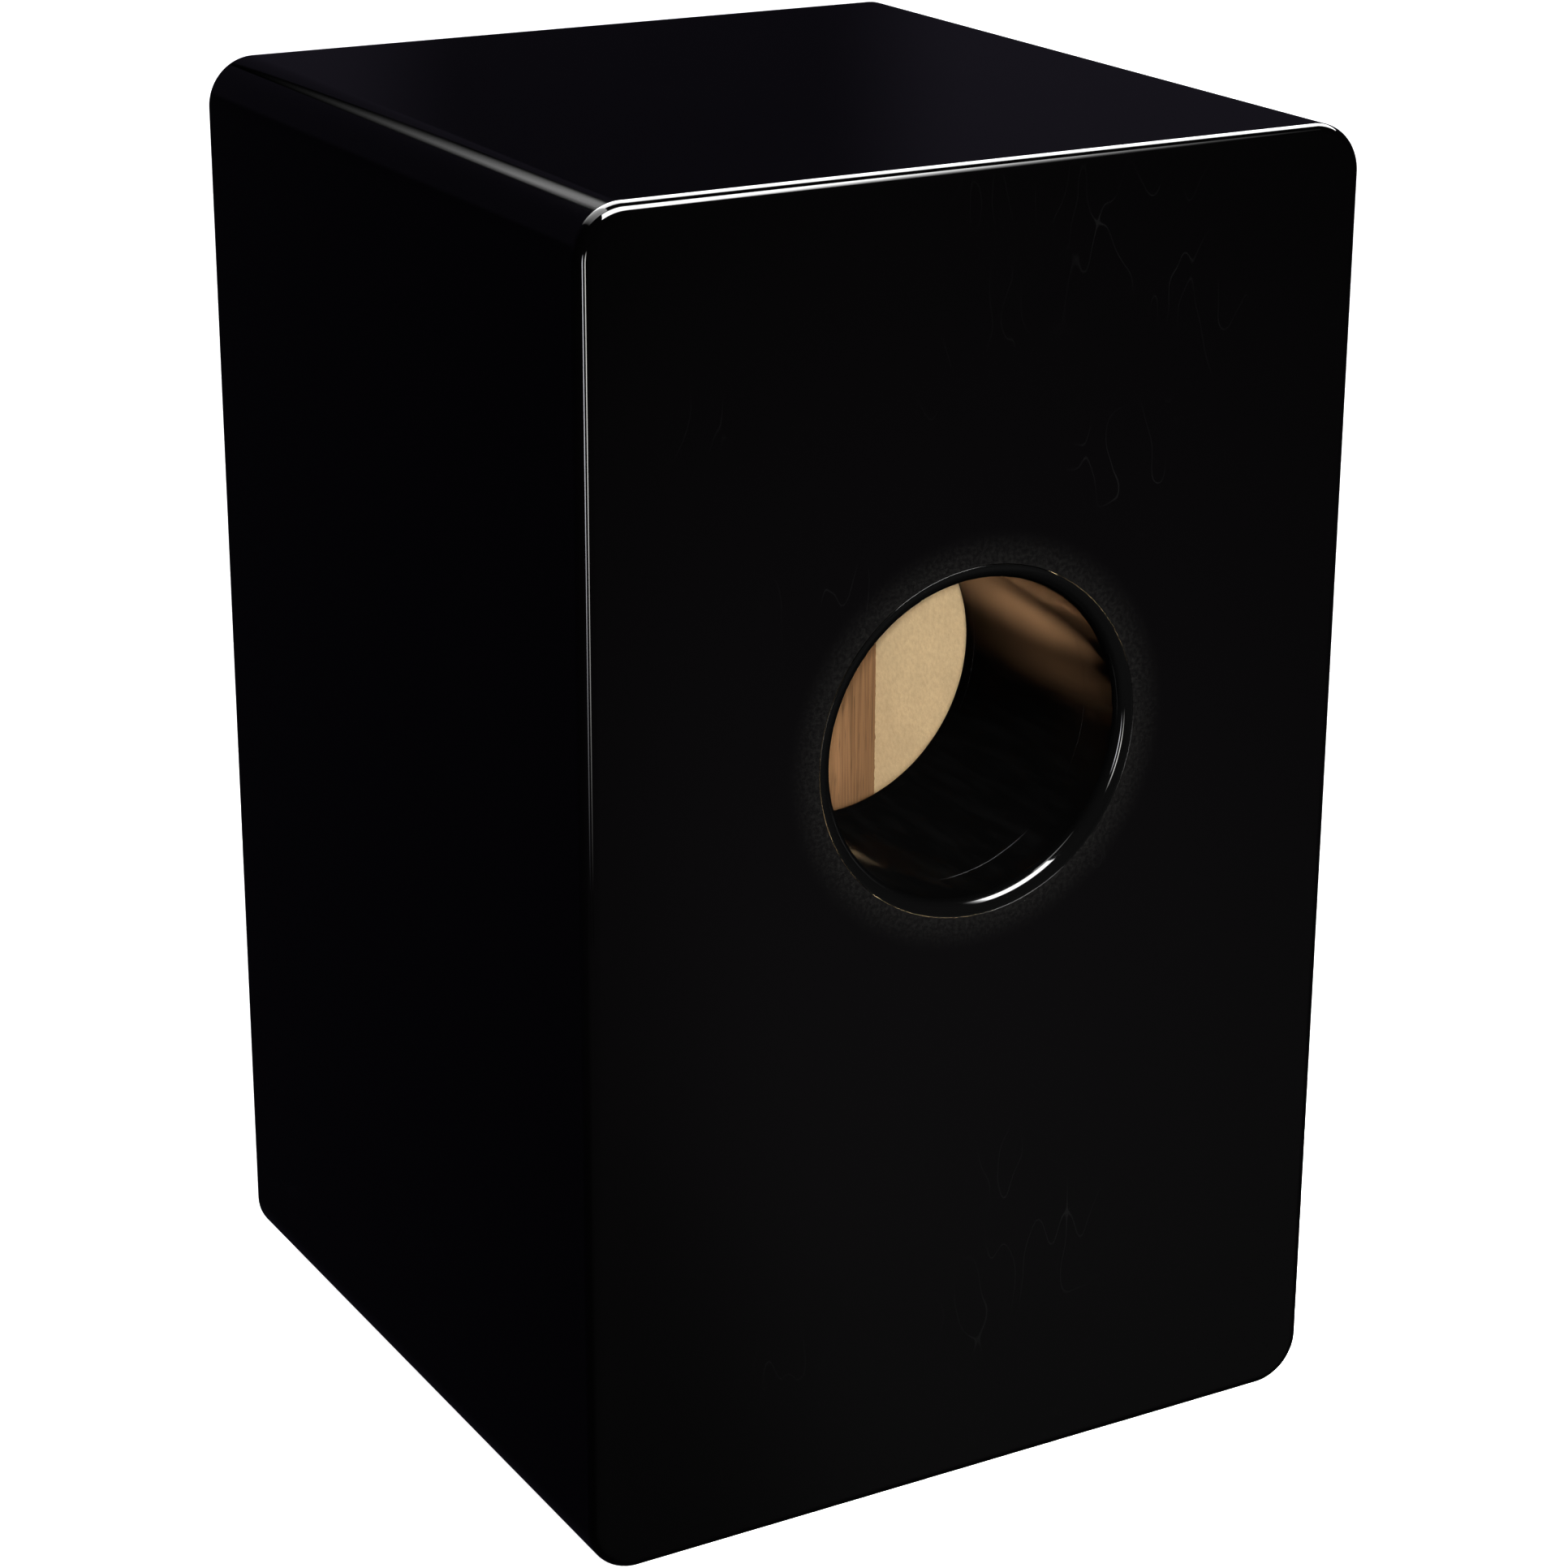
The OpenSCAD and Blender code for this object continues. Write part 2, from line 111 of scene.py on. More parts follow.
def solids(node):
    """(lowest, highest) corner of each separate solid of a node, from left to right."""
    mesh = bmesh.new()
    mesh.from_mesh(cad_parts[node].data)
    bmesh.ops.remove_doubles(mesh, verts=mesh.verts, dist=1e-6)
    found, seen = [], set()
    for first in mesh.verts:
        if first in seen:
            continue
        seen.add(first)
        group, todo = [], [first]
        while todo:
            vert = todo.pop()
            group.append(vert.co.copy())
            for edge in vert.link_edges:
                other = edge.other_vert(vert)
                if other not in seen:
                    seen.add(other)
                    todo.append(other)
        lowest = Vector(min(p[i] for p in group) for i in range(3))
        highest = Vector(max(p[i] for p in group) for i in range(3))
        found.append((lowest, highest))
    mesh.free()
    return sorted(found, key=lambda pair: (round(pair[0].x, 5), round(pair[0].z, 5)))


def middles(node):
    """Middle of each separate solid of a node."""
    return [(a + b) / 2 for a, b in solids(node)]


# ---------- settings ----------

class CajonSizes(bpy.types.PropertyGroup):
    """Sizes that the frame leaves open."""

    rear_round: FloatProperty(
        name="Rear round-over", description="Radius round the rear face", default=5 * MM, unit="LENGTH")
    tapa_round: FloatProperty(
        name="Tapa edge", description="Radius of the tapa's front edge", default=0.7 * MM, unit="LENGTH")
    port_wall: FloatProperty(
        name="Port wall", description="Wall thickness of the port", default=2.4 * MM, unit="LENGTH")
    lip_round: FloatProperty(
        name="Port lip", description="Radius of the lip at the rear face", default=5 * MM, unit="LENGTH")
    mouth_round: FloatProperty(
        name="Port mouth", description="Radius of the flare inside the box", default=7 * MM, unit="LENGTH")
    seam: FloatProperty(
        name="Port seam", description="Gap round the port's flange", default=0.15 * MM, unit="LENGTH")
    sunk: FloatProperty(
        name="Sanding dip", description="Depth of the sanded dip round the port", default=0.1 * MM,
        unit="LENGTH")
    chips: FloatProperty(
        name="Sawn edge", description="Size of the sawn edge's chips behind the tapa", default=0.7 * MM,
        unit="LENGTH")
    winding: FloatProperty(
        name="String winding", description="Pitch of the strings' winding", default=0.7 * MM,
        unit="LENGTH")
    bolt_pitch: FloatProperty(
        name="Bolt thread", description="Pitch of the tension bolts' thread", default=0.8 * MM,
        unit="LENGTH")
    screw_pitch: FloatProperty(
        name="Screw thread", description="Pitch of the wood screws' thread", default=1.6 * MM,
        unit="LENGTH")
    seed: IntProperty(
        name="Seed", description="Seed for the turn of the screws, washers and ball ends", default=7)


class CajonColours(bpy.types.PropertyGroup):
    """Colours of the finishes."""

    lacquer: FloatVectorProperty(
        name="Lacquer", description="Black gloss lacquer", subtype="COLOR", size=3,
        default=(0.00006, 0.00005, 0.00006), min=0, max=1)
    board: FloatVectorProperty(
        name="Raw board", description="Bare fibreboard inside", subtype="COLOR", size=3,
        default=(0.46, 0.335, 0.185), min=0, max=1)
    veneer: FloatVectorProperty(
        name="Veneer", description="Reddish-brown veneer behind the tapa", subtype="COLOR", size=3,
        default=(0.106, 0.056, 0.026), min=0, max=1)
    batten: FloatVectorProperty(
        name="Battens", description="Planed hardwood battens", subtype="COLOR", size=3,
        default=(0.30, 0.15, 0.078), min=0, max=1)
    plastic: FloatVectorProperty(
        name="Port", description="Black moulded plastic", subtype="COLOR", size=3,
        default=(0.0001, 0.0001, 0.0001), min=0, max=1)
    black_steel: FloatVectorProperty(
        name="Black screws", description="Black oxide steel", subtype="COLOR", size=3,
        default=(0.035, 0.034, 0.036), min=0, max=1)
    zinc: FloatVectorProperty(
        name="Zinc", description="Zinc-plated steel", subtype="COLOR", size=3,
        default=(0.56, 0.57, 0.59), min=0, max=1)
    bolt: FloatVectorProperty(
        name="Bolts", description="Dark steel of the bolts", subtype="COLOR", size=3,
        default=(0.15, 0.15, 0.16), min=0, max=1)
    string: FloatVectorProperty(
        name="Strings", description="Steel winding of the strings", subtype="COLOR", size=3,
        default=(0.62, 0.61, 0.60), min=0, max=1)
    brass: FloatVectorProperty(
        name="Brass", description="Ball ends and ferrules", subtype="COLOR", size=3,
        default=(0.72, 0.50, 0.22), min=0, max=1)
    rubber: FloatVectorProperty(
        name="Rubber", description="Moulded rubber of the feet", subtype="COLOR", size=3,
        default=(0.022, 0.022, 0.023), min=0, max=1)


class CajonStage(bpy.types.PropertyGroup):
    """Camera and lights."""

    azimuth: FloatProperty(
        name="Azimuth", description="Side that the camera stands on, 0 in front of the tapa",
        default=math.radians(150.21), subtype="ANGLE")
    elevation: FloatProperty(
        name="Elevation", description="Height of the camera above the horizon",
        default=math.radians(19.57), subtype="ANGLE")
    roll: FloatProperty(
        name="Roll", description="Turn of the camera about its own axis",
        default=math.radians(0.27), subtype="ANGLE")
    distance: FloatProperty(
        name="Distance", description="From the camera to the middle of the cabinet", default=1.4549,
        unit="LENGTH")
    aside: FloatProperty(name="Aside", description="Camera's step to its right", default=8.16 * MM,
                         unit="LENGTH")
    up: FloatProperty(name="Up", description="Camera's step upwards", default=-1.9 * MM, unit="LENGTH")
    lens: FloatProperty(name="Lens", description="Focal length in millimetres", default=89.4)
    rise: FloatProperty(name="Shift", description="Vertical shift of the lens", default=-0.0316)
    overhead: FloatProperty(
        name="Overhead light", description="Brightness of the overhead softboxes", default=26.0)
    strips: FloatProperty(
        name="Strip lights", description="Brightness of the two strips beside the camera", default=15.0)
    inside: FloatProperty(
        name="Inside light", description="Power of the lamp at the camera that shines into the port",
        default=245.0)
    beam: FloatProperty(
        name="Beam", description="Power of the beams behind the drum, high up", default=5800.0)
    floor: FloatVectorProperty(
        name="Floor", description="Pale floor", subtype="COLOR", size=3, default=(0.86, 0.86, 0.87),
        min=0, max=1)


def sizes():
    return bpy.context.scene.cajon_sizes


def colours():
    return bpy.context.scene.cajon_colours


def stage_settings():
    return bpy.context.scene.cajon_stage


# ---------- shapes ----------

class Shape:
    """Collects points and faces, with a direction for every corner and a finish for every face."""

    def __init__(self):
        self.points = []
        self.faces = []
        self.directions = []
        self.finishes = []

    def add(self, points):
        """Adds points and returns their numbers."""
        first = len(self.points)
        self.points += [Vector(p) for p in points]
        return list(range(first, len(self.points)))

    def face(self, corners, outward, finish=0):
        """Adds a face. outward is one direction for a flat face, or one for each corner."""
        curved = isinstance(outward, list)
        facing = sum(outward, Vector((0, 0, 0))) if curved else Vector(outward)
        normal = Vector((0, 0, 0))
        for a, b in zip(corners, corners[1:] + corners[:1]):
            normal += self.points[a].cross(self.points[b])
        if normal.length < 1e-14:
            return
        corners = list(corners)
        ways = list(outward) if curved else None
        if normal.dot(facing) < 0:
            corners.reverse()
            normal.negate()
            if curved:
                ways.reverse()
        self.faces.append(corners)
        self.directions += ways if curved else [normal.normalized()] * len(corners)
        self.finishes.append(finish)

    def strip(self, first, second, directions, finish=0, closed=True):
        """Quads between two rows of points. directions holds one list for each row, or one for both."""
        if not isinstance(directions[0], list):
            directions = [directions, directions]
        count = len(first)
        for i in range(count if closed else count - 1):
            k = (i + 1) % count
            corners, ways = [], []
            for number, way in (
                    (first[i], directions[0][i]), (first[k], directions[0][k]),
                    (second[k], directions[1][k]), (second[i], directions[1][i])):
                if number not in corners:
                    corners.append(number)
                    ways.append(way)
            self.face(corners, ways, finish)

    def fill(self, edge, holes, outward, finish=0):
        """A flat face with holes. edge and holes are rows of point numbers."""
        rows = [edge] + holes
        numbers = [n for row in rows for n in row]
        for three in tessellate_polygon([[self.points[n] for n in row] for row in rows]):
            self.face([numbers[i] for i in three], outward, finish)

    def bore(self, axis, steps, outline, finish=0, mouth=None):
        """A hole's wall along an axis, from its mouth in. Returns its first and last rows."""
        angles = [TURN * i / steps for i in range(steps)]
        rows = [mouth or self.add([axis.at(*outline[0], a) for a in angles])]
        for (r0, h0), (r1, h1) in zip(outline, outline[1:]):
            slope = Vector((h0 - h1, r1 - r0)).normalized()
            ways = [axis.way(slope.x, slope.y, a) for a in angles]
            if r1 == 0:
                rows.append(self.add([axis.at(0, h1, 0)]) * steps)
            else:
                rows.append(self.add([axis.at(r1, h1, a) for a in angles]))
            self.strip(rows[-2], rows[-1], ways, finish)
        return rows[0], rows[-1]

    def build(self, name, finishes, exact=True):
        """Makes the object. exact keeps the corners' directions, else edges over 35 degrees are sharp."""
        mesh = bpy.data.meshes.new(name)
        mesh.from_pydata(self.points, [], self.faces)
        for finish in finishes:
            mesh.materials.append(finish)
        mesh.polygons.foreach_set("material_index", self.finishes)
        mesh.shade_smooth()
        if exact:
            mesh.normals_split_custom_set(self.directions)
        else:
            mesh.set_sharp_from_angle(angle=math.radians(35))
        mesh.update()
        return link(name, mesh)


class Axis:
    """A turning axis: heights run along it, radii stand off it."""

    def __init__(self, origin, along):
        self.origin = Vector(origin)
        self.along = Vector(along).normalized()
        self.side = Vector((1, 0, 0)) if abs(self.along.x) < 0.9 else Vector((0, 0, 1))
        self.other = self.along.cross(self.side)

    def ray(self, angle):
        return self.side * math.cos(angle) + self.other * math.sin(angle)

    def at(self, radius, height, angle):
        return self.origin + self.along * height + self.ray(angle) * radius

    def way(self, out, along, angle):
        return self.along * along + self.ray(angle) * out


def upright(middle, height, way=1):
    """An axis straight up, or down with way -1, through a middle and starting at a height."""
    return Axis((middle.x, middle.y, height), (0, 0, way))


def link(name, mesh):
    """Puts a mesh into the scene as an object at the origin."""
    obj = bpy.data.objects.new(name, mesh)
    bpy.context.scene.collection.objects.link(obj)
    return obj


def fillet(corners, steps):
    """Rounds a closed outline of (a, b, radius). Returns a list of (point, outward way) for each corner."""
    count = len(corners)
    turning = sum(
        corners[i - 1][0] * corners[i][1] - corners[i][0] * corners[i - 1][1] for i in range(count))
    arcs = []
    for i, (a, b, radius) in enumerate(corners):
        corner = Vector((a, b))
        back = (Vector(corners[i - 1][:2]) - corner).normalized()
        on = (Vector(corners[(i + 1) % count][:2]) - corner).normalized()
        half = math.acos(max(-1, min(1, back.dot(on)))) / 2
        centre = corner + (back + on).normalized() * (radius / math.sin(half))
        start = corner + back * (radius / math.tan(half)) - centre
        end = corner + on * (radius / math.tan(half)) - centre
        first = math.atan2(start.y, start.x)
        sweep = (math.atan2(end.y, end.x) - first + math.pi) % TURN - math.pi
        outer = 1 if sweep * turning > 0 else -1
        arc = []
        for k in range(steps + 1):
            angle = first + sweep * k / steps
            way = Vector((math.cos(angle), math.sin(angle)))
            arc.append((centre + way * radius, way * outer))
        arcs.append(arc)
    return arcs


def turned(name, axis, corners, finish, steps=96, arc=4, warp=None):
    """A closed ring turned round an axis from an outline of (radius, height, round)."""
    rim = [pair for found in fillet(corners, arc) for pair in found]
    shape = Shape()
    angles = [TURN * i / steps for i in range(steps)]
    rows, ways = [], []
    for point, way in rim:
        rows.append(shape.add([
            axis.at(point.x + (warp(point.x, point.y, a) if warp else 0), point.y, a) for a in angles]))
        ways.append([axis.way(way.x, way.y, a) for a in angles])
    for i in range(len(rows)):
        k = (i + 1) % len(rows)
        shape.strip(rows[i], rows[k], [ways[i], ways[k]])
    return shape.build(name, [finish], exact=warp is None)


def spun(axis, outline, steps, radius_at=None):
    """A solid of revolution whose outline starts and ends on the axis, as a bmesh."""
    mesh = bmesh.new()
    rows = []
    for radius, height in outline:
        if radius == 0:
            rows.append([mesh.verts.new(axis.at(0, height, 0))] * steps)
            continue
        angles = [TURN * i / steps for i in range(steps)]
        rows.append([
            mesh.verts.new(axis.at(radius_at(radius, height, a) if radius_at else radius, height, a))
            for a in angles])
    for first, second in zip(rows, rows[1:]):
        for i in range(steps):
            k = (i + 1) % steps
            ring = []
            for vert in (first[i], first[k], second[k], second[i]):
                if vert not in ring:
                    ring.append(vert)
            if len(ring) > 2:
                mesh.faces.new(ring)
    bmesh.ops.recalc_face_normals(mesh, faces=mesh.faces)
    return mesh


def rod(axis, radius, start, end, steps=32):
    """A plain round cutter."""
    return spun(axis, [(0, start), (radius, start), (radius, end), (0, end)], steps)


def block(lowest, highest):
    """A rectangular block as a bmesh."""
    mesh = bmesh.new()
    bmesh.ops.create_cube(mesh, size=1)
    size = Vector(highest) - Vector(lowest)
    middle = (Vector(highest) + Vector(lowest)) / 2
    bmesh.ops.transform(
        mesh, matrix=Matrix.Translation(middle) @ Matrix.Diagonal((*size, 1)), verts=mesh.verts)
    return mesh


def prism(outline, start, end, place):
    """A bar of a flat outline, as a bmesh. place turns (a, b, along) into a point."""
    mesh = bmesh.new()
    first = [mesh.verts.new(place(a, b, start)) for a, b in outline]
    second = [mesh.verts.new(place(a, b, end)) for a, b in outline]
    mesh.faces.new(first)
    mesh.faces.new(second)
    for i in range(len(outline)):
        k = (i + 1) % len(outline)
        mesh.faces.new([first[i], first[k], second[k], second[i]])
    bmesh.ops.recalc_face_normals(mesh, faces=mesh.faces)
    return mesh


def from_bmesh(name, mesh, finish=None):
    """Turns a bmesh into an object."""
    data = bpy.data.meshes.new(name)
    mesh.to_mesh(data)
    mesh.free()
    if finish:
        data.materials.append(finish)
    return link(name, data)


def bake(obj):
    """Puts an object's modifiers into its mesh."""
    bpy.context.view_layer.update()
    graph = bpy.context.evaluated_depsgraph_get()
    made = bpy.data.meshes.new_from_object(obj.evaluated_get(graph), depsgraph=graph)
    obj.modifiers.clear()
    old = obj.data
    name = old.name
    obj.data = made
    bpy.data.meshes.remove(old)
    made.name = name
    return obj


def combine(obj, others, operation):
    """Cuts or joins other shapes into an object, one after another."""
    for number, other in enumerate(others):
        tool = from_bmesh(f"tool_{number}", other)
        step = obj.modifiers.new("Combine", "BOOLEAN")
        step.operation = operation
        step.solver = "EXACT"
        step.object = tool
        bake(obj)
        data = tool.data
        bpy.data.objects.remove(tool)
        bpy.data.meshes.remove(data)
    return obj


def soften(obj, width, segments=3, angle=32):
    """Rounds an object's sharp edges and shades it smooth."""
    step = obj.modifiers.new("Edges", "BEVEL")
    step.width = width
    step.segments = segments
    step.limit_method = "ANGLE"
    step.angle_limit = math.radians(angle)
    step.use_clamp_overlap = True
    step.harden_normals = True
    obj.data.shade_smooth()
    return bake(obj)


def smooth(obj, angle=35):
    """Smooth shading with sharp edges over an angle."""
    obj.data.shade_smooth()
    obj.data.set_sharp_from_angle(angle=math.radians(angle))
    return obj


def settle(obj, body, slot, *nodes):
    """Fixes a finished piece to its body, in place of its nodes."""
    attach(obj, body)
    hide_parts(*nodes)
    return obj


# ---------- repeated pieces ----------

def spread_tree():
    """Geometry nodes: sets one piece on every point, each with its own turn about an axis."""
    tree = bpy.data.node_groups.get("Set on points")
    if tree:
        return tree
    tree = bpy.data.node_groups.new("Set on points", "GeometryNodeTree")
    tree.is_modifier = True
    for label, kind in (
        ("Points", "NodeSocketGeometry"), ("Piece", "NodeSocketObject"), ("Axis", "NodeSocketVector"),
        ("Most turn", "NodeSocketFloat"), ("Seed", "NodeSocketInt"), ("Finish", "NodeSocketMaterial"),
    ):
        tree.interface.new_socket(label, in_out="INPUT", socket_type=kind)
    tree.interface.new_socket("Pieces", in_out="OUTPUT", socket_type="NodeSocketGeometry")
    given = tree.nodes.new("NodeGroupInput")
    piece = add(tree, "GeometryNodeObjectInfo", {"Object": given.outputs["Piece"], "As Instance": True})
    turn = add(tree, "FunctionNodeRandomValue", data_type="FLOAT")
    tree.links.new(given.outputs["Most turn"], turn.inputs[3])
    tree.links.new(given.outputs["Seed"], turn.inputs["Seed"])
    lean = add(tree, "FunctionNodeAxisAngleToRotation", {
        "Axis": given.outputs["Axis"], "Angle": turn.outputs[1]})
    points = add(tree, "GeometryNodeMeshToPoints", {"Mesh": given.outputs["Points"]})
    spread = add(tree, "GeometryNodeInstanceOnPoints", {
        "Points": points.outputs["Points"], "Instance": piece.outputs["Geometry"],
        "Rotation": lean.outputs["Rotation"]})
    real = add(tree, "GeometryNodeRealizeInstances", {"Geometry": spread.outputs["Instances"]})
    finish = add(tree, "GeometryNodeSetMaterial", {
        "Geometry": real.outputs["Geometry"], "Material": given.outputs["Finish"]})
    out = tree.nodes.new("NodeGroupOutput")
    tree.links.new(finish.outputs["Geometry"], out.inputs["Pieces"])
    return tree


def spread(name, piece, points, axis, finish, turn=TURN):
    """One mesh with a copy of the piece at every point, each turned by chance about the axis."""
    data = bpy.data.meshes.new(name)
    data.from_pydata(points, [], [])
    obj = link(name, data)
    tree = spread_tree()
    step = obj.modifiers.new("Spread", "NODES")
    step.node_group = tree
    sockets = {s.name: s.identifier for s in tree.interface.items_tree if s.in_out == "INPUT"}
    step[sockets["Piece"]] = piece
    step[sockets["Axis"]] = axis
    step[sockets["Most turn"]] = turn
    step[sockets["Seed"]] = sizes().seed
    step[sockets["Finish"]] = finish
    bake(obj)
    old = piece.data
    bpy.data.objects.remove(piece)
    bpy.data.meshes.remove(old)
    return smooth(obj)


# ---------- finishes ----------

def feed(tree, socket, value):
    """Gives a socket a value, or a link if the value is a socket itself."""
    if isinstance(value, bpy.types.NodeSocket):
        tree.links.new(value, socket)
    else:
        socket.default_value = value


def add(tree, kind, inputs=None, **settings):
    """Adds a node. inputs are values or the sockets to link from."""
    node = tree.nodes.new(kind)
    for key, value in settings.items():
        setattr(node, key, value)
    for key, value in (inputs or {}).items():
        feed(tree, node.inputs[key], value)
    return node


def calculate(tree, operation, *values):
    """A Math node over one, two or three values."""
    return add(tree, "ShaderNodeMath", dict(enumerate(values)), operation=operation).outputs[0]


def smooth_step(tree, value, low_in, high_in, low_out, high_out):
    """Maps a value's range onto another, eased and limited at both ends."""
    return add(tree, "ShaderNodeMapRange", {
        "Value": value, "From Min": low_in, "From Max": high_in, "To Min": low_out,
        "To Max": high_out}, interpolation_type="SMOOTHSTEP").outputs["Result"]


class Finish:
    """A material in the making. Patterns read Object coordinates, in metres."""

    def __init__(self, name):
        self.material = bpy.data.materials.new(name)
        self.material.use_nodes = True
        self.tree = self.material.node_tree
        self.tree.nodes.clear()
        self.where = add(self.tree, "ShaderNodeTexCoord").outputs["Object"]
        self.shader = add(self.tree, "ShaderNodeBsdfPrincipled")
        self.output = add(self.tree, "ShaderNodeOutputMaterial", {"Surface": self.shader.outputs["BSDF"]})

    def stretched(self, scale, shift=(0, 0, 0), where=None):
        """Coordinates scaled by (x, y, z)."""
        return add(self.tree, "ShaderNodeMapping", {
            "Vector": where or self.where, "Scale": scale, "Location": shift}).outputs["Vector"]

    def noise(self, scale, detail=3, rough=0.55, warp=0, where=None):
        """Fractal noise with that many cells a metre."""
        return add(self.tree, "ShaderNodeTexNoise", {
            "Vector": where or self.where, "Scale": scale, "Detail": detail, "Roughness": rough,
            "Distortion": warp}).outputs["Fac"]

    def cells(self, scale):
        """Distance inside scattered cells."""
        return add(self.tree, "ShaderNodeTexVoronoi", {
            "Vector": self.where, "Scale": scale}).outputs["Distance"]

    def between(self, value, low_in, high_in, low_out, high_out):
        """Maps a value's range onto another, eased and limited at both ends."""
        return smooth_step(self.tree, value, low_in, high_in, low_out, high_out)

    def math(self, operation, *values):
        """A Math node."""
        return calculate(self.tree, operation, *values)

    def mix(self, share, first, second):
        """Mixes two colours."""
        node = add(self.tree, "ShaderNodeMix", {0: share}, data_type="RGBA")
        for socket, value in ((node.inputs[6], first), (node.inputs[7], second)):
            feed(self.tree, socket, (*value, 1) if isinstance(value, tuple) else value)
        return node.outputs[2]

    def bump(self, height, depth, strength=1.0, normal=None):
        """Raises the surface by height times depth, in metres."""
        inputs = {"Height": height, "Distance": depth, "Strength": strength}
        if normal:
            inputs["Normal"] = normal
        return add(self.tree, "ShaderNodeBump", inputs).outputs["Normal"]

    def done(self, colour, roughness, normal=None, **fixed):
        """Sets the shader's sockets. fixed holds values that are the same all over."""
        for key, value in (("Base Color", colour), ("Roughness", roughness), ("Normal", normal)):
            if value is not None:
                feed(self.tree, self.shader.inputs[key], value)
        for key, value in fixed.items():
            self.shader.inputs[key.replace("_", " ").title().replace("Ior", "IOR")].default_value = value
        return self.material


def darker(colour, share):
    """A colour times a share, which lightens it over 1."""
    return tuple(c * share for c in colour)


def once(make):
    """Keeps a finish, so that it is made once."""
    kept = {}

    def get(*given):
        if given not in kept:
            kept[given] = make(*given)
        return kept[given]

    return get


@once
def lacquer():
    """Black gloss lacquer over filled board: orange peel, polishing haze, dust, hairline scuffs and a painted
    reflection halo round the port.
    """
    f = Finish("black_gloss_lacquer")
    base = tuple(colours().lacquer)
    peel = f.noise(260, 2, 0.5)
    swell = f.noise(38, 2, 0.4)
    haze = f.noise(9, 4, 0.6)
    dust = f.between(f.cells(520), 0.0, 0.05, 1.0, 0.0)
    sparse = f.between(f.noise(23, 2), 0.60, 0.74, 0.0, 1.0)
    speck = f.math("MULTIPLY", dust, sparse)
    hair = f.noise(60, 1, 0.5, where=f.stretched((1, 9, 0.35)))
    scuff = f.between(f.math("ABSOLUTE", f.math("SUBTRACT", hair, 0.5)), 0.0, 0.004, 1.0, 0.0)
    scuffed = f.math("MULTIPLY", scuff, f.between(f.noise(11, 2), 0.60, 0.74, 0.0, 1.0))
    parts = add(f.tree, "ShaderNodeSeparateXYZ", {"Vector": f.where}).outputs
    worn = f.between(parts["Z"], Z_LOW, Z_LOW + 0.03, 1.0, 0.0)
    colour = f.mix(speck, base, (0.002, 0.002, 0.002))
    colour = f.mix(f.math("MULTIPLY", scuffed, 0.3), colour, (0.001, 0.001, 0.001))
    rough = f.math("ADD", f.between(haze, 0.3, 0.75, 0.035, 0.055), f.math("MULTIPLY", worn, 0.03))
    rough = f.math("ADD", rough, f.math("MULTIPLY", speck, 0.2))
    # Polishing haze in a ring round the port raises the roughness; the same ring also lightens the colour
    # with speckled noise, a painted reflection halo
    out = f.math("SQRT", f.math("ADD", f.math("POWER", parts["X"], 2.0), f.math(
        "POWER", f.math("SUBTRACT", parts["Z"], Z_PORT), 2.0)))
    ring = f.math("MULTIPLY", f.between(out, 0.062, 0.076, 1.0, 0.0), f.between(
        parts["Y"], Y_REAR - 0.002, Y_REAR - 0.001, 0.0, 1.0))
    rough = f.math("ADD", rough, f.math("MULTIPLY", ring, 0.05))
    # Painted reflection halo: the lacquer's colour is lightened in the ring round the port
    colour = f.mix(f.math("MULTIPLY", ring, f.between(f.noise(700, 3, 0.7), 0.35, 0.75, 0.2, 1.0)),
                   colour, (0.0005, 0.00048, 0.00045))
    normal = f.bump(swell, 0.008 * MM, 0.8)
    normal = f.bump(peel, 0.0008 * MM, 0.8, normal)
    normal = f.bump(f.math("ADD", speck, f.math("MULTIPLY", scuffed, -0.3)), 0.01 * MM, 0.5, normal)
    return f.done(colour, rough, normal, specular_ior_level=0.5)


@once
def raw_board():
    """Bare fibreboard: pressed fibres, pale and dark flecks, dust and pits."""
    f = Finish("raw_fibreboard")
    base = tuple(colours().board)
    cloud = f.noise(16, 4, 0.6)
    felt = f.noise(420, 5, 0.7)
    fibre = f.noise(1500, 3, 0.7, 0.6)
    fleck = f.between(f.cells(640), 0.05, 0.16, 1.0, 0.0)
    rare = f.between(f.noise(190, 2), 0.55, 0.68, 0.0, 1.0)
    dark_fleck = f.math("MULTIPLY", fleck, rare)
    colour = f.mix(f.between(cloud, 0.3, 0.7, 0.0, 1.0), darker(base, 0.86), darker(base, 1.12))
    colour = f.mix(f.between(felt, 0.35, 0.68, 0.0, 0.45), colour, darker(base, 0.66))
    colour = f.mix(f.between(fibre, 0.55, 0.75, 0.0, 0.4), colour, (0.72, 0.55, 0.33))
    colour = f.mix(f.math("MULTIPLY", dark_fleck, 0.75), colour, darker(base, 0.28))
    normal = f.bump(felt, 0.10 * MM, 0.5)
    normal = f.bump(fibre, 0.03 * MM, 0.6, normal)
    normal = f.bump(dark_fleck, -0.06 * MM, 0.6, normal)
    return f.done(colour, f.between(felt, 0.3, 0.7, 0.78, 0.95), normal, specular_ior_level=0.25)


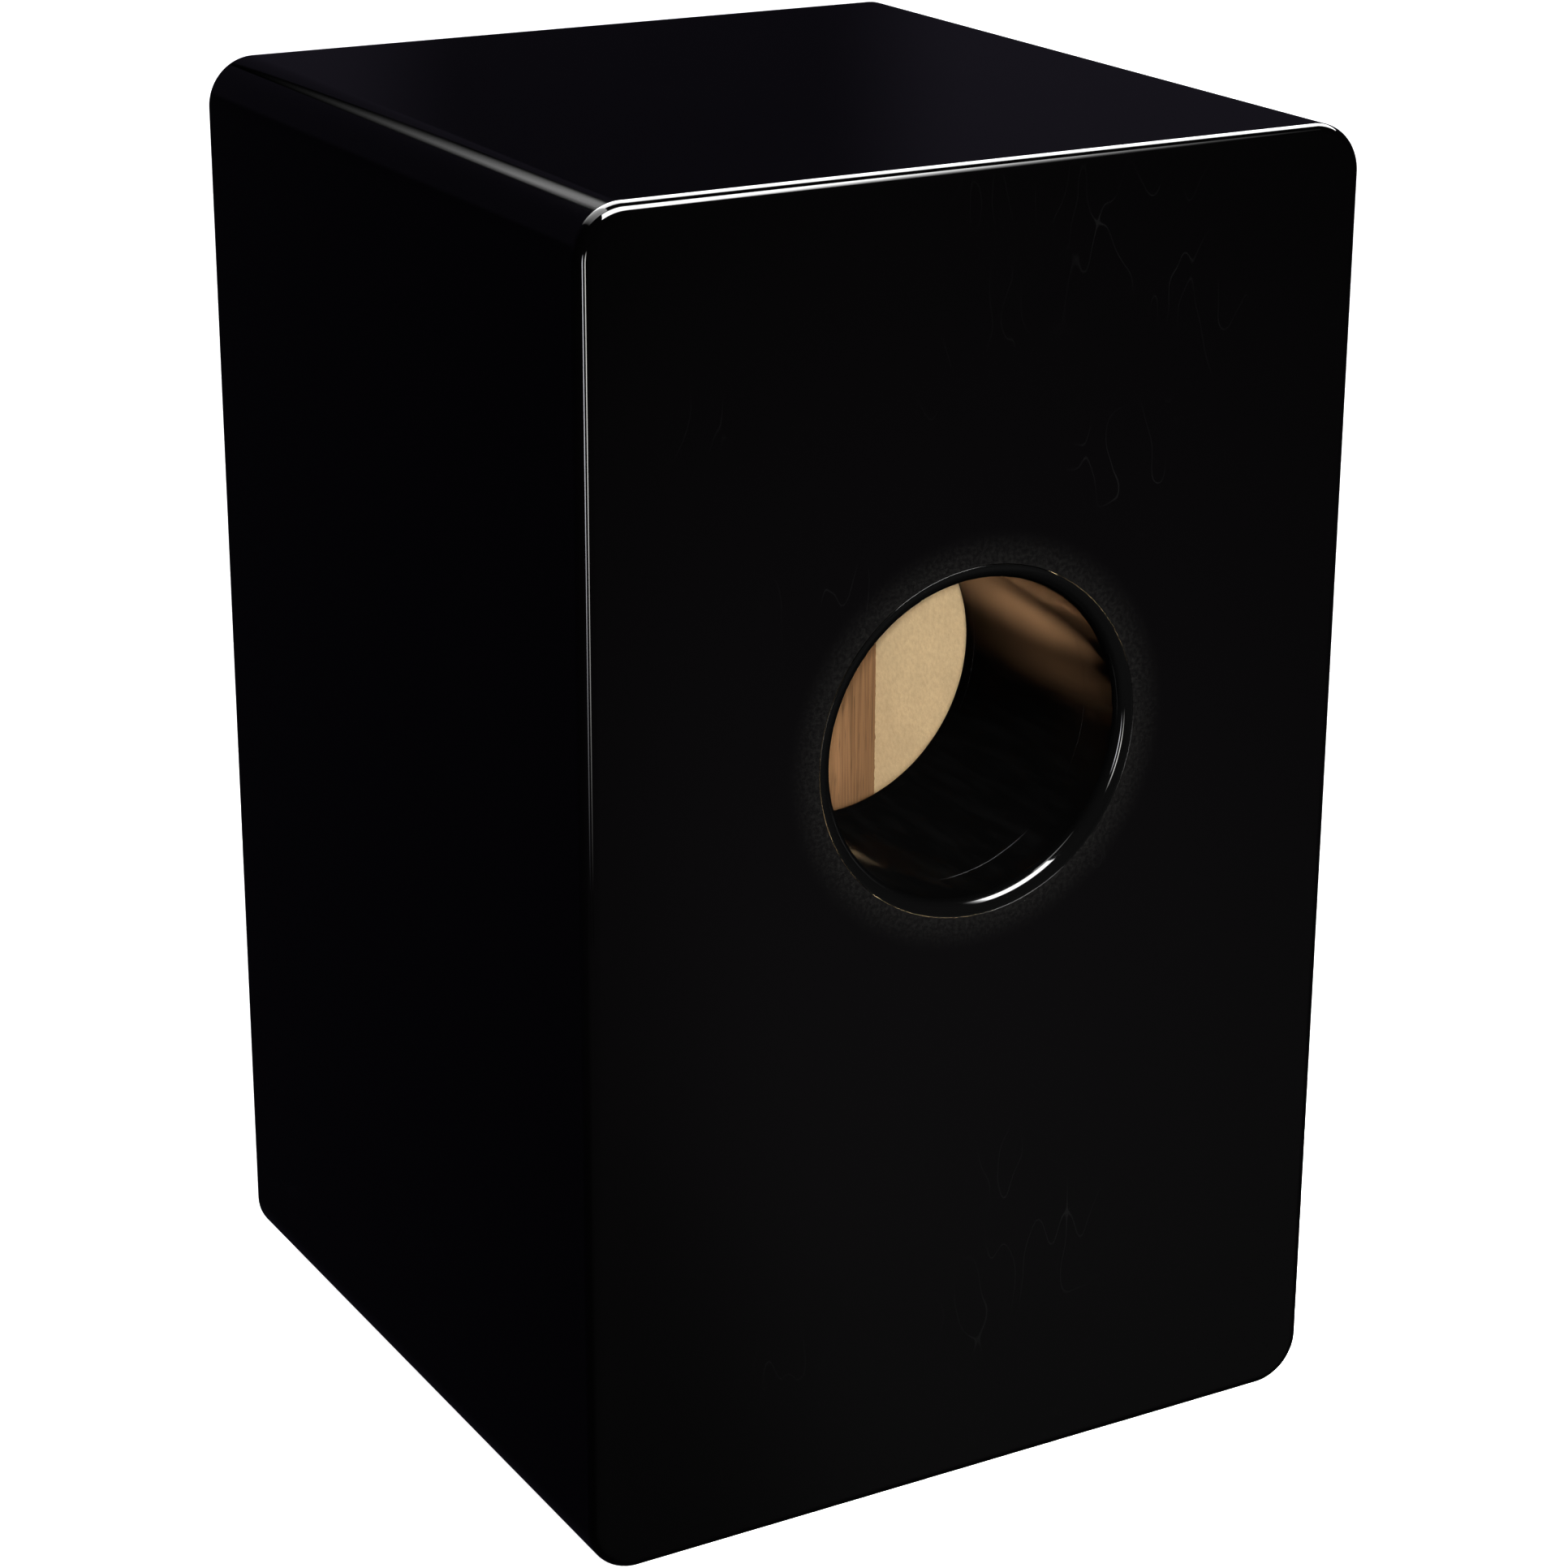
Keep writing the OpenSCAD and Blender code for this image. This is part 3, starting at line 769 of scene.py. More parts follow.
@once
def grained(kind, along):
    """Bare wood whose grain runs along one axis: growth bands, streaks, open pores and a planed sheen."""
    f = Finish(f"{kind}_grain_{along}")
    base = tuple(getattr(colours(), kind))
    axis = "xyz".index(along)

    def drawn(across, length):
        return f.stretched(tuple(length if i == axis else across for i in range(3)))

    wave = f.noise(1, 3, 0.5, 0.6, where=drawn(55, 3.2))
    band = f.noise(1, 2, 0.5, 0.9, where=drawn(320, 6))
    streak = f.noise(1, 4, 0.65, 0.3, where=drawn(900, 14))
    pore = f.noise(1, 2, 0.5, where=drawn(2300, 60))
    pores = f.between(pore, 0.60, 0.70, 0.0, 1.0)
    dark_line = f.between(f.math("ABSOLUTE", f.math("SUBTRACT", band, 0.5)), 0.0, 0.035, 1.0, 0.0)
    colour = f.mix(f.between(wave, 0.3, 0.7, 0.0, 1.0), darker(base, 0.78), darker(base, 1.22))
    colour = f.mix(f.between(streak, 0.38, 0.7, 0.0, 0.6), colour, darker(base, 0.52))
    colour = f.mix(f.math("MULTIPLY", dark_line, 0.35), colour, darker(base, 0.36))
    colour = f.mix(f.math("MULTIPLY", pores, 0.7), colour, darker(base, 0.22))
    normal = f.bump(streak, 0.05 * MM, 0.5)
    normal = f.bump(pores, -0.06 * MM, 0.7, normal)
    return f.done(colour, f.between(streak, 0.3, 0.7, 0.52, 0.74), normal, specular_ior_level=0.35)


@once
def port_plastic():
    """Black moulded plastic: draw marks along the port's axis, faint swirls and dust in the tube."""
    f = Finish("port_black_plastic")
    base = tuple(colours().plastic)
    local = f.stretched((1, 1, 1), (0, 0, -Z_PORT))
    parts = add(f.tree, "ShaderNodeSeparateXYZ", {"Vector": local})
    angle = f.math("ARCTAN2", parts.outputs["Z"], parts.outputs["X"])
    round_axis = add(f.tree, "ShaderNodeCombineXYZ", {
        "X": f.math("COSINE", angle), "Y": f.math("SINE", angle),
        "Z": f.math("MULTIPLY", parts.outputs["Y"], 2.5)}).outputs["Vector"]
    # The lip is polished, the tube behind it is satin
    satin = f.between(parts.outputs["Y"], Y_REAR - 0.016, Y_REAR - 0.007, 1.0, 0.0)
    broad = f.noise(2.2, 3, 0.55, 0.2, where=round_axis)
    draw = f.noise(14, 4, 0.6, where=round_axis)
    fine = f.noise(70, 2, 0.6, where=round_axis)
    dust = f.between(f.noise(900, 3, 0.7), 0.60, 0.78, 0.0, 1.0)
    colour = f.mix(f.math("MULTIPLY", satin, f.between(draw, 0.4, 0.7, 0.0, 0.5)), base, darker(base, 2.5))
    colour = f.mix(f.math("MULTIPLY", dust, 0.02), colour, (0.004, 0.003, 0.003))
    grain = f.math("ADD", f.between(broad, 0.3, 0.7, 0.05, 0.10), f.between(draw, 0.35, 0.7, 0.0, 0.05))
    rough = f.math("ADD", 0.055, f.math("MULTIPLY", satin, grain))
    normal = f.bump(f.math("MULTIPLY", satin, draw), 0.012 * MM, 0.5)
    normal = f.bump(f.math("MULTIPLY", satin, fine), 0.002 * MM, 0.5, normal)
    return f.done(colour, rough, normal, specular_ior_level=0.5)


@once
def metal(name, kind, smoothest, roughest, tarnish, grain):
    """Metal with a grown tarnish, fine scratches and uneven polish."""
    f = Finish(name)
    base = tuple(getattr(colours(), kind))
    cloud = f.noise(180, 4, 0.6)
    spangle = f.noise(900, 3, 0.65)
    scratch = f.noise(1, 3, 0.7, where=f.stretched(grain))
    pit = f.between(f.cells(1500), 0.02, 0.12, 1.0, 0.0)
    spots = f.math("MULTIPLY", pit, f.between(cloud, 0.5, 0.62, 0.0, 1.0))
    colour = f.mix(f.between(cloud, 0.35, 0.7, 0.0, 0.7), base, tarnish)
    colour = f.mix(f.between(spangle, 0.5, 0.75, 0.0, 0.3), colour, darker(base, 1.25))
    colour = f.mix(f.math("MULTIPLY", spots, 0.6), colour, darker(tarnish, 0.4))
    rough = f.between(f.math("ADD", cloud, f.math("MULTIPLY", scratch, 0.5)), 0.55, 1.0, smoothest, roughest)
    normal = f.bump(scratch, 0.004 * MM, 0.5)
    normal = f.bump(spots, -0.01 * MM, 0.5, normal)
    return f.done(colour, rough, normal, metallic=1.0)


def black_screw():
    return metal("black_oxide_screw", "black_steel", 0.30, 0.50, (0.075, 0.068, 0.06), (700, 700, 700))


def zinc_steel():
    return metal("zinc_plated_steel", "zinc", 0.22, 0.46, (0.50, 0.47, 0.40), (2600, 240, 240))


def bolt_steel():
    return metal("dark_bolt_steel", "bolt", 0.24, 0.42, (0.10, 0.085, 0.07), (900, 900, 260))


def string_steel():
    return metal("wound_string_steel", "string", 0.20, 0.38, (0.42, 0.36, 0.28), (1200, 1200, 300))


def brass():
    return metal("turned_brass", "brass", 0.18, 0.40, (0.40, 0.23, 0.08), (300, 300, 3000))


@once
def rubber():
    """Moulded black rubber: fine grain, bloom and floor dust."""
    f = Finish("moulded_black_rubber")
    base = tuple(colours().rubber)
    bloom = f.noise(90, 4, 0.6)
    grain = f.noise(1900, 3, 0.6)
    dust = f.between(f.noise(600, 4, 0.7), 0.52, 0.75, 0.0, 1.0)
    colour = f.mix(f.between(bloom, 0.4, 0.7, 0.0, 0.6), base, darker(base, 2.0))
    colour = f.mix(f.math("MULTIPLY", dust, 0.35), colour, (0.12, 0.11, 0.10))
    normal = f.bump(grain, 0.03 * MM, 0.6)
    return f.done(colour, f.between(bloom, 0.3, 0.7, 0.62, 0.85), normal, specular_ior_level=0.3)


# ---------- holes ----------

# Radii of the holes that strings, screws and bolts pass through
STRING_HOLE = 0.6 * MM
SCREW_HOLE = 1.75 * MM
BOLT_THREAD_HOLE = 2.55 * MM
BOLT_CLEAR_HOLE = 2.75 * MM


# ---------- cabinet ----------

ARC_STEPS = 48
# Place of the raw board or the veneer among a piece's finishes, after the lacquer
RAW = 1


def cabinet_arcs(inset=0.0):
    """The four rounded corners of the cabinet's outline, from the upper right one clockwise."""
    x, top, bottom, r = X_OUT - inset, Z_HIGH - inset, Z_LOW + inset, EDGE_R - inset
    return fillet([(x, top, r), (x, bottom, r), (-x, bottom, r), (-x, top, r)], ARC_STEPS)


def at_y(pair, y):
    """A point of the outline at depth y."""
    return Vector((pair[0].x, y, pair[0].y))


def way_of(pair):
    """The outline's outward direction as a 3-D vector."""
    return Vector((pair[1].x, 0, pair[1].y))


def chip(along, number):
    """How much of the sawn edge is missing at a place along it."""
    fine = noise.noise(Vector((along * 900, number * 7.3, 0)))
    coarse = noise.noise(Vector((along * 260, number * 3.1, 5)))
    bite = max(0.0, coarse - 0.32) * 3.2 + max(0.0, fine - 0.45) * 1.6
    return sizes().chips * (0.55 + 0.35 * fine + bite)


def mitred_board(name, first, second, outer_bores=(), inner_bores=()):
    """One board of the shell between two corners, lacquered outside and raw within.

    The bores are (axis, outline) pairs whose mouths lie on the outer or the inner face."""
    arcs = cabinet_arcs()
    middle = ARC_STEPS // 2
    rim = arcs[first][middle:] + arcs[second][:middle + 1]
    flat_way = way_of(rim[middle])
    inner = [(X_IN, Z_ROOF), (X_IN, Z_FLOOR), (-X_IN, Z_FLOOR), (-X_IN, Z_ROOF)]
    start, end = Vector(inner[first]), Vector(inner[second])
    stations = int((end - start).length / (0.8 * MM))
    shape = Shape()
    ways = [way_of(pair) for pair in rim]
    front = shape.add([at_y(pair, Y_SEAT) for pair in rim])
    back = shape.add([at_y(pair, Y_BACK) for pair in rim])
    sawn, edge = [], []
    for i in range(stations + 1):
        point = start.lerp(end, i / stations)
        place = Vector((point.x, Y_SEAT, point.y))
        depth = chip((end - start).length * i / stations, first) if 0 < i < stations else 0.1 * MM
        sawn.append(place + flat_way * depth)
        edge.append(place + Vector((0, depth * 1.2, 0)))
    sawn, edge = shape.add(sawn), shape.add(edge)
    inner_back = shape.add([(start.x, Y_BACK, start.y), (end.x, Y_BACK, end.y)])
    # Outer face, with the flat part filled round its bores
    shape.strip(front[:middle + 1], back[:middle + 1], ways[:middle + 1], closed=False)
    shape.strip(front[middle + 1:], back[middle + 1:], ways[middle + 1:], closed=False)
    mouths = [shape.bore(axis, 40, outline, RAW)[0] for axis, outline in outer_bores]
    shape.fill([front[middle], front[middle + 1], back[middle + 1], back[middle]], mouths, flat_way)
    # Inner face
    mouths = [shape.bore(axis, 32, outline, RAW)[0] for axis, outline in inner_bores]
    shape.fill(edge + [inner_back[1], inner_back[0]], mouths, -flat_way, RAW)
    # Sawn front end with the tapa screws' pilot holes
    pilots = []
    for lowest, highest in solids("tapa_screws"):
        centre = (lowest + highest) / 2
        inside = abs(centre.x) > X_IN if first % 2 == 0 else not Z_FLOOR < centre.z < Z_ROOF
        side = flat_way.x * centre.x + flat_way.z * (centre.z - (Z_LOW + Z_HIGH) / 2)
        if inside and side > 0:
            axis = Axis((centre.x, Y_SEAT, centre.z), (0, 1, 0))
            radius, depth = 1.8 * MM, highest.y - Y_SEAT + MM
            pilots.append(shape.bore(axis, 16, [(radius, 0), (radius, depth), (0, depth)], RAW)[0])
    shape.fill(front + sawn[::-1], pilots, (0, -1, 0), RAW)
    for i in range(stations):
        shape.face([sawn[i], sawn[i + 1], edge[i + 1], edge[i]], Vector((0, -1, 0)) - flat_way, RAW)
    # Rear end and the two mitres
    shape.face(back + inner_back[::-1], (0, 1, 0), RAW)
    along = Vector((end.x - start.x, 0, end.y - start.y)).normalized()
    shape.face([front[0], back[0], inner_back[0], edge[0], sawn[0]], -along, RAW)
    shape.face([front[-1], back[-1], inner_back[1], edge[-1], sawn[-1]], along, RAW)
    obj = shape.build(name, [lacquer(), raw_board()])
    return settle(obj, "cabinet", "lacquered_board", name)


def bottom_bores():
    """Bores in the bottom board, from beneath and from within."""

    def blind(radius, depth):
        return [(radius, 0), (radius, depth), (0, depth)]

    sink_r, hole_r = 6.45 * MM, BOLT_CLEAR_HOLE
    seat = high("bolt_washers").z - Z_LOW
    under = [(upright(m, Z_LOW), blind(1.95 * MM, 10 * MM)) for m in middles("foot_screws")]
    within = []
    for side in SIDES:
        middle = centre_of(f"tension_bolt_{side}")
        under.append((upright(middle, Z_LOW), [
            (sink_r, 0), (sink_r, seat), (hole_r, seat), (hole_r, seat * 1.01)]))
        within.append((upright(middle, Z_FLOOR, -1), [(hole_r, 0), (hole_r, Z_FLOOR - Z_LOW - seat)]))
    within += [(upright(m, Z_FLOOR, -1), blind(1.55 * MM, 8.5 * MM)) for m in middles("bracket_screws")]
    return under, within


def rounded_rim(shape, y_start, y_face, radius, steps):
    """Side band from y_start and the round-over up to a face. Returns the rows at both ends."""
    outward = 1 if y_face > y_start else -1
    base = [pair for arc in cabinet_arcs() for pair in arc]
    ways = [way_of(pair) for pair in base]
    shoulder = y_face - outward * radius
    first = shape.add([at_y(pair, y_start) for pair in base])
    last, last_ways = shape.add([at_y(pair, shoulder) for pair in base]), ways
    shape.strip(first, last, ways)
    for k in range(1, steps + 1):
        angle = math.pi / 2 * k / steps
        inset, rise = radius * (1 - math.cos(angle)), radius * math.sin(angle)
        row = shape.add([
            at_y(pair, shoulder + outward * rise) - way * inset for pair, way in zip(base, ways)])
        row_ways = [way * math.cos(angle) + Vector((0, outward * math.sin(angle), 0)) for way in ways]
        shape.strip(last, row, [last_ways, row_ways])
        last, last_ways = row, row_ways
    return first, last


def rear_board():
    """Rear board: round-over, a shallow sanded dip round the port and the flange's stepped seat."""
    s = sizes()
    shape = Shape()
    inner, face = rounded_rim(shape, Y_BACK, Y_REAR, s.rear_round, 32)
    axis = Axis((0, Y_REAR, Z_PORT), (0, -1, 0))
    steps = 192
    angles = [TURN * i / steps for i in range(steps)]
    hole = high("port_flange").x + s.seam
    neck = high("port_tube").x + s.seam
    crisp, reach = 0.25 * MM, 15 * MM
    rows, ways = [], []
    for k in range(15):
        out = 1 - k / 14
        share = 1 - out
        tilt = 2 * s.sunk * share / reach
        rows.append(shape.add([
            axis.at(hole + crisp + reach * out, s.sunk * share ** 2, a) for a in angles]))
        ways.append([axis.way(-tilt, -1, a).normalized() for a in angles])
    shape.fill(face, [rows[0]], (0, 1, 0))
    for i in range(len(rows) - 1):
        shape.strip(rows[i], rows[i + 1], [ways[i], ways[i + 1]])
    for k in range(1, 6):
        angle = math.pi / 2 * k / 5
        radius = hole + crisp - crisp * math.sin(angle)
        depth = s.sunk + crisp - crisp * math.cos(angle)
        rows.append(shape.add([axis.at(radius, depth, a) for a in angles]))
        ways.append([axis.way(-math.sin(angle), -math.cos(angle), a) for a in angles])
        shape.strip(rows[-2], rows[-1], [ways[-2], ways[-1]])
    seat = s.lip_round
    _, last = shape.bore(axis, steps, [
        (hole, s.sunk + crisp), (hole, seat), (neck, seat), (neck, Y_REAR - Y_BACK)], RAW, rows[-1])
    shape.fill(inner, [last], (0, -1, 0), RAW)
    obj = shape.build("back_panel", [lacquer(), raw_board()])
    return settle(obj, "cabinet", "lacquered_board", "back_panel")


def tapa():
    """Striking face: thin plywood with a lightly rounded front edge and countersunk holes."""
    shape = Shape()
    back, face = rounded_rim(shape, Y_SEAT, Y_FRONT, sizes().tapa_round, 8)
    fronts, backs = [], []
    head_r = 3.5 * MM
    head_h = 1.9 * MM
    shank_r = 1.8 * MM
    for centre in middles("tapa_screws"):
        axis = Axis((centre.x, Y_FRONT, centre.z), (0, 1, 0))
        first, last = shape.bore(axis, 48, [
            (head_r + 0.15 * MM, 0), (head_r, 0.15 * MM), (shank_r, head_h), (shank_r, Y_SEAT - Y_FRONT)])
        fronts.append(first)
        backs.append(last)
    shape.fill(face, fronts, (0, -1, 0))
    shape.fill(back, backs, (0, 1, 0), RAW)
    obj = shape.build("tapa", [lacquer(), grained("veneer", "z")])
    return settle(obj, "cabinet", "tapa_ply", "tapa")


# ---------- screws ----------

def threaded(radius, core, pitch, start, end, point=0.0):
    """Radius of a threaded shank at a height and angle."""

    def at(_, height, angle):
        if not start <= height <= end:
            return radius
        run_in = min(1.0, (height - start) / pitch, (end - height) / pitch + 0.2)
        wave = abs(((height / pitch - angle / TURN) % 1) * 2 - 1)
        depth = (radius - core) * max(0.0, run_in) * min(1.0, wave * 1.35)
        taper = 1 - max(0.0, (height - (end - point)) / point) * 0.75 if point else 1
        return (radius - depth) * taper

    return at


def screw_shank(axis, head, length, radius, pitch, sides=20, point=3 * MM):
    """Head outline, then a threaded shank, as a bmesh. head runs from the axis outwards and down."""
    rings = int(length / pitch * 8)
    start = head[-1][1]
    outline = list(head)
    outline += [(radius, start + (length - start) * (k + 1) / rings) for k in range(rings - 1)]
    outline.append((0, length))
    at = threaded(radius, radius * 0.72, pitch, start + 1.5 * pitch, length, point)
    shank_from = start + 1e-6
    return spun(axis, outline, sides, lambda r, h, a: at(r, h, a) if h > shank_from else r)


def cross_cutter(axis, width, reach, depth):
    """Two tapered bars, the shape of a cross-head driver's tip, from height 0 inwards."""
    bars = []
    for turn in (0, math.pi / 2):
        along, over = axis.ray(turn), axis.ray(turn + math.pi / 2)
        mesh = bmesh.new()
        corners = []
        for height, spread_by in ((-0.5 * MM, 1.0), (depth, 0.45)):
            middle = axis.origin + axis.along * height
            half = reach * spread_by
            wide = width / 2 * (1.0 if height < 0 else 0.7)
            corners.append([
                mesh.verts.new(middle + along * sx * half + over * sy * wide)
                for sx, sy in ((-1, -1), (1, -1), (1, 1), (-1, 1))])
        mesh.faces.new(corners[0])
        mesh.faces.new(corners[1])
        for i in range(4):
            k = (i + 1) % 4
            mesh.faces.new([corners[0][i], corners[0][k], corners[1][k], corners[1][i]])
        bmesh.ops.recalc_face_normals(mesh, faces=mesh.faces)
        bars.append(mesh)
    return bars


def tapa_screws():
    """Black countersunk screws with a cross recess."""
    axis = Axis((0, 0, 0), (0, 1, 0))
    lowest, highest = solids("tapa_screws")[0]
    length = highest.y - lowest.y
    radius, head_r, head_h, edge = 1.75 * MM, 3.5 * MM, 1.9 * MM, 0.12 * MM
    head = [(0, 0), (head_r * 0.55, 0), (head_r - edge * 1.5, 0.02 * MM), (head_r - edge * 0.4, edge * 0.5),
            (head_r - edge * 0.5, edge * 1.3), (radius, head_h)]
    mesh = screw_shank(axis, head, length, radius, sizes().screw_pitch)
    piece = from_bmesh("tapa_screw", mesh)
    combine(piece, cross_cutter(axis, 0.8 * MM, 1.8 * MM, 1.2 * MM), "DIFFERENCE")
    points = [Vector((m.x, Y_FRONT, m.z)) for m in middles("tapa_screws")]
    obj = spread("tapa_screws", piece, points, (0, 1, 0), black_screw())
    return settle(obj, "cabinet", "black_screw", "tapa_screws")


def slotted_screw(axis, length, pitch):
    """A cheese-head wood screw with a slot, its head's top at height 0."""
    radius, head_r, head_h, edge = 1.5 * MM, 2.9 * MM, 1.9 * MM, 0.25 * MM
    head = [(0, 0), (head_r * 0.6, 0.02 * MM), (head_r - edge, 0.10 * MM), (head_r - edge * 0.2, edge),
            (head_r, edge * 1.8), (head_r, head_h - edge * 0.3), (head_r - edge * 0.3, head_h),
            (radius, head_h)]
    piece = from_bmesh("slotted_screw", screw_shank(axis, head, length, radius, pitch))
    half, wide, deep = head_r * 1.1, 0.4 * MM, 0.8 * MM
    along, over = axis.ray(0), axis.ray(math.pi / 2)
    cutter = prism(
        [(-half, -wide), (half, -wide), (half, wide), (-half, wide)], -MM, deep,
        lambda a, b, h: axis.origin + along * a + over * b + axis.along * h)
    return combine(piece, [cutter], "DIFFERENCE")


def pan_head_screw(axis, length, pitch):
    """A domed screw with a cross recess, its head's top at height 0."""
    radius, head_r, head_h = 1.9 * MM, 3.6 * MM, 2.2 * MM
    dome = [(head_r * math.sin(a), head_h * 0.75 * (1 - math.cos(a)))
            for a in (math.pi / 2 * k / 7 for k in range(1, 8))]
    head = [(0, 0)] + dome + [(head_r - 0.1 * MM, head_h), (radius, head_h)]
    piece = from_bmesh("pan_head_screw", screw_shank(axis, head, length, radius, pitch))
    return combine(piece, cross_cutter(axis, 0.8 * MM, 1.8 * MM, 1.2 * MM), "DIFFERENCE")


def washers(node, bore):
    """Flat washers with rounded edges, in place of a node's."""
    lowest, highest = solids(node)[0]
    radius, height = (highest.x - lowest.x) / 2, highest.z - lowest.z
    rounding = height * 0.22
    piece = turned("washer", Axis((0, 0, 0), UP), [
        (bore, 0, rounding), (radius, 0, rounding), (radius, height, rounding), (bore, height, rounding)],
        None, 64, 3)
    points = [Vector((m.x, m.y, lowest.z)) for m in middles(node)]
    return settle(spread(node, piece, points, UP, zinc_steel()), "cabinet", "zinc_steel", node)


# ---------- battens ----------

def corner_batten(side, level):
    """Planed batten glued into a long corner, with its inner arris taken off."""
    node = f"corner_batten_{level}_{side}"
    lowest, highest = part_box(node)
    left, top = side == "left", level == "top"
    outline = []
    cut = (highest.x - lowest.x) / 3
    for corner_x, corner_z in ((0, 0), (1, 0), (1, 1), (0, 1)):
        x = highest.x if corner_x else lowest.x
        z = highest.z if corner_z else lowest.z
        if corner_x == (1 if left else 0) and corner_z == (0 if top else 1):
            step_x = -cut if left else cut
            step_z = cut if top else -cut
            near = [(x + step_x, z), (x, z + step_z)]
            outline += near[::-1] if corner_x == corner_z else near
        else:
            outline.append((x, z))
    mesh = prism(outline, lowest.y, highest.y, lambda a, b, y: (a, y, b))
    obj = from_bmesh(node, mesh, grained("batten", "y"))
    soften(obj, 0.4 * MM, 2)
    return settle(obj, "cabinet", "hardwood", node)


def string_batten():
    """Batten that the strings hang from: open pockets for their ball ends and pilot holes."""
    lowest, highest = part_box("string_batten")
    obj = from_bmesh("string_batten", block(lowest, highest), grained("batten", "x"))
    pocket_r, pocket_h = 2.6 * MM, 5 * MM
    pilot_r, pilot_h = 1.55 * MM, 12 * MM
    cutters = [rod(upright(m, lowest.z), pocket_r, -MM, pocket_h) for m in middles("string_balls")]
    cutters += [rod(upright(m, lowest.z), pilot_r, -MM, pilot_h, 24) for m in middles("anchor_screws")]
    combine(obj, cutters, "DIFFERENCE")
    soften(obj, 0.3 * MM, 2)
    return settle(obj, "cabinet", "hardwood", "string_batten")


# ---------- port ----------

def port():
    """The port's four pieces: lipped flange, sleeve, tube and flared mouth."""
    s = sizes()
    axis = Axis((0, Y_REAR, Z_PORT), (0, -1, 0))
    outer = high("port_tube").x
    bore = outer - s.port_wall
    flange, sleeve = high("port_flange").x, high("port_sleeve").x
    fit, fine = 0.05 * MM, 0.2 * MM

    def depth(node, end):
        return Y_REAR - (low(node).y if end else high(node).y)

    neck_end = depth("port_flange", 1)
    pieces = {"port_flange": [
        (bore, neck_end, fine / 4), (bore, 0, s.lip_round), (flange, 0, 0.12 * MM),
        (flange, s.lip_round, fine), (outer, s.lip_round, fine), (outer, neck_end, fine * 2)]}
    pieces["port_sleeve"] = [
        (outer + fit, depth("port_sleeve", 1), fine * 2), (outer + fit, depth("port_sleeve", 0), fine * 2),
        (sleeve, depth("port_sleeve", 0), fine * 2), (sleeve, depth("port_sleeve", 1), fine * 2)]
    tube_start, tube_end = depth("port_tube", 0), depth("port_tube", 1)
    pieces["port_tube"] = [
        (bore, tube_end, fine / 4), (bore, tube_start, fine / 4),
        (outer, tube_start, fine / 2), (outer, tube_end, fine / 2)]
    mouth, socket = depth("port_flare", 1), depth("port_flare", 0)
    rim, bead = high("port_flare").x, 1.5 * MM
    shoulder = tube_end + s.port_wall
    pieces["port_flare"] = [
        (bore, tube_end, fine / 4), (outer + fit, tube_end, fine), (outer + fit, socket, fine * 2),
        (sleeve, socket, fine * 2), (sleeve, shoulder, fine * 2), (outer, shoulder, fine * 2),
        (outer, mouth - 2 * bead, s.mouth_round - s.port_wall - 2 * fine),
        (rim, mouth - 2 * bead, bead * 0.98), (rim, mouth, bead * 0.98), (bore, mouth, s.mouth_round - fine)]
    for name, corners in pieces.items():
        arc = 20 if name in ("port_flange", "port_flare") else 5
        obj = turned(name, axis, corners, port_plastic(), 256, arc)
        settle(obj, "cabinet", "port_plastic", name)


# ---------- strings ----------

def anchor_set():
    """Anchor plate, its screws and the brass ball ends that rest on it."""
    lowest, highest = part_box("anchor_plate")
    plate = from_bmesh("anchor_plate", block(lowest, highest), zinc_steel())
    through = 4 * MM
    cutters = [rod(upright(m, lowest.z), STRING_HOLE, -MM, through, 24) for m in middles("string_balls")]
    cutters += [rod(upright(m, lowest.z), SCREW_HOLE, -MM, through, 32) for m in middles("anchor_screws")]
    combine(plate, cutters, "DIFFERENCE")
    soften(plate, 0.18 * MM, 2)
    settle(plate, "cabinet", "zinc_steel", "anchor_plate")

    low_end, high_end = solids("anchor_screws")[0]
    piece = slotted_screw(Axis((0, 0, 0), UP), high_end.z - low_end.z, 1.3 * MM)
    points = [Vector((m.x, m.y, low_end.z)) for m in middles("anchor_screws")]
    screws = spread("anchor_screws", piece, points, UP, zinc_steel(), math.pi)
    settle(screws, "cabinet", "zinc_steel", "anchor_screws")

    low_end, high_end = solids("string_balls")[0]
    radius, half = (high_end.z - low_end.z) / 2, (high_end.x - low_end.x) / 2
    across = Axis((0, 0, 0), (1, 0, 0))
    waist, bore = radius * 0.72, 0.35 * MM
    piece = turned("ball_end", across, [
        (bore, -half, 0.15 * MM), (radius, -half, 0.35 * MM), (radius, -half * 0.45, 0.3 * MM),
        (waist, -half * 0.28, 0.3 * MM), (waist, half * 0.28, 0.3 * MM), (radius, half * 0.45, 0.3 * MM),
        (radius, half, 0.35 * MM), (bore, half, 0.15 * MM)], None, 40, 3)
    balls = spread("string_balls", piece, middles("string_balls"), (1, 0, 0), brass())
    settle(balls, "cabinet", "brass", "string_balls")


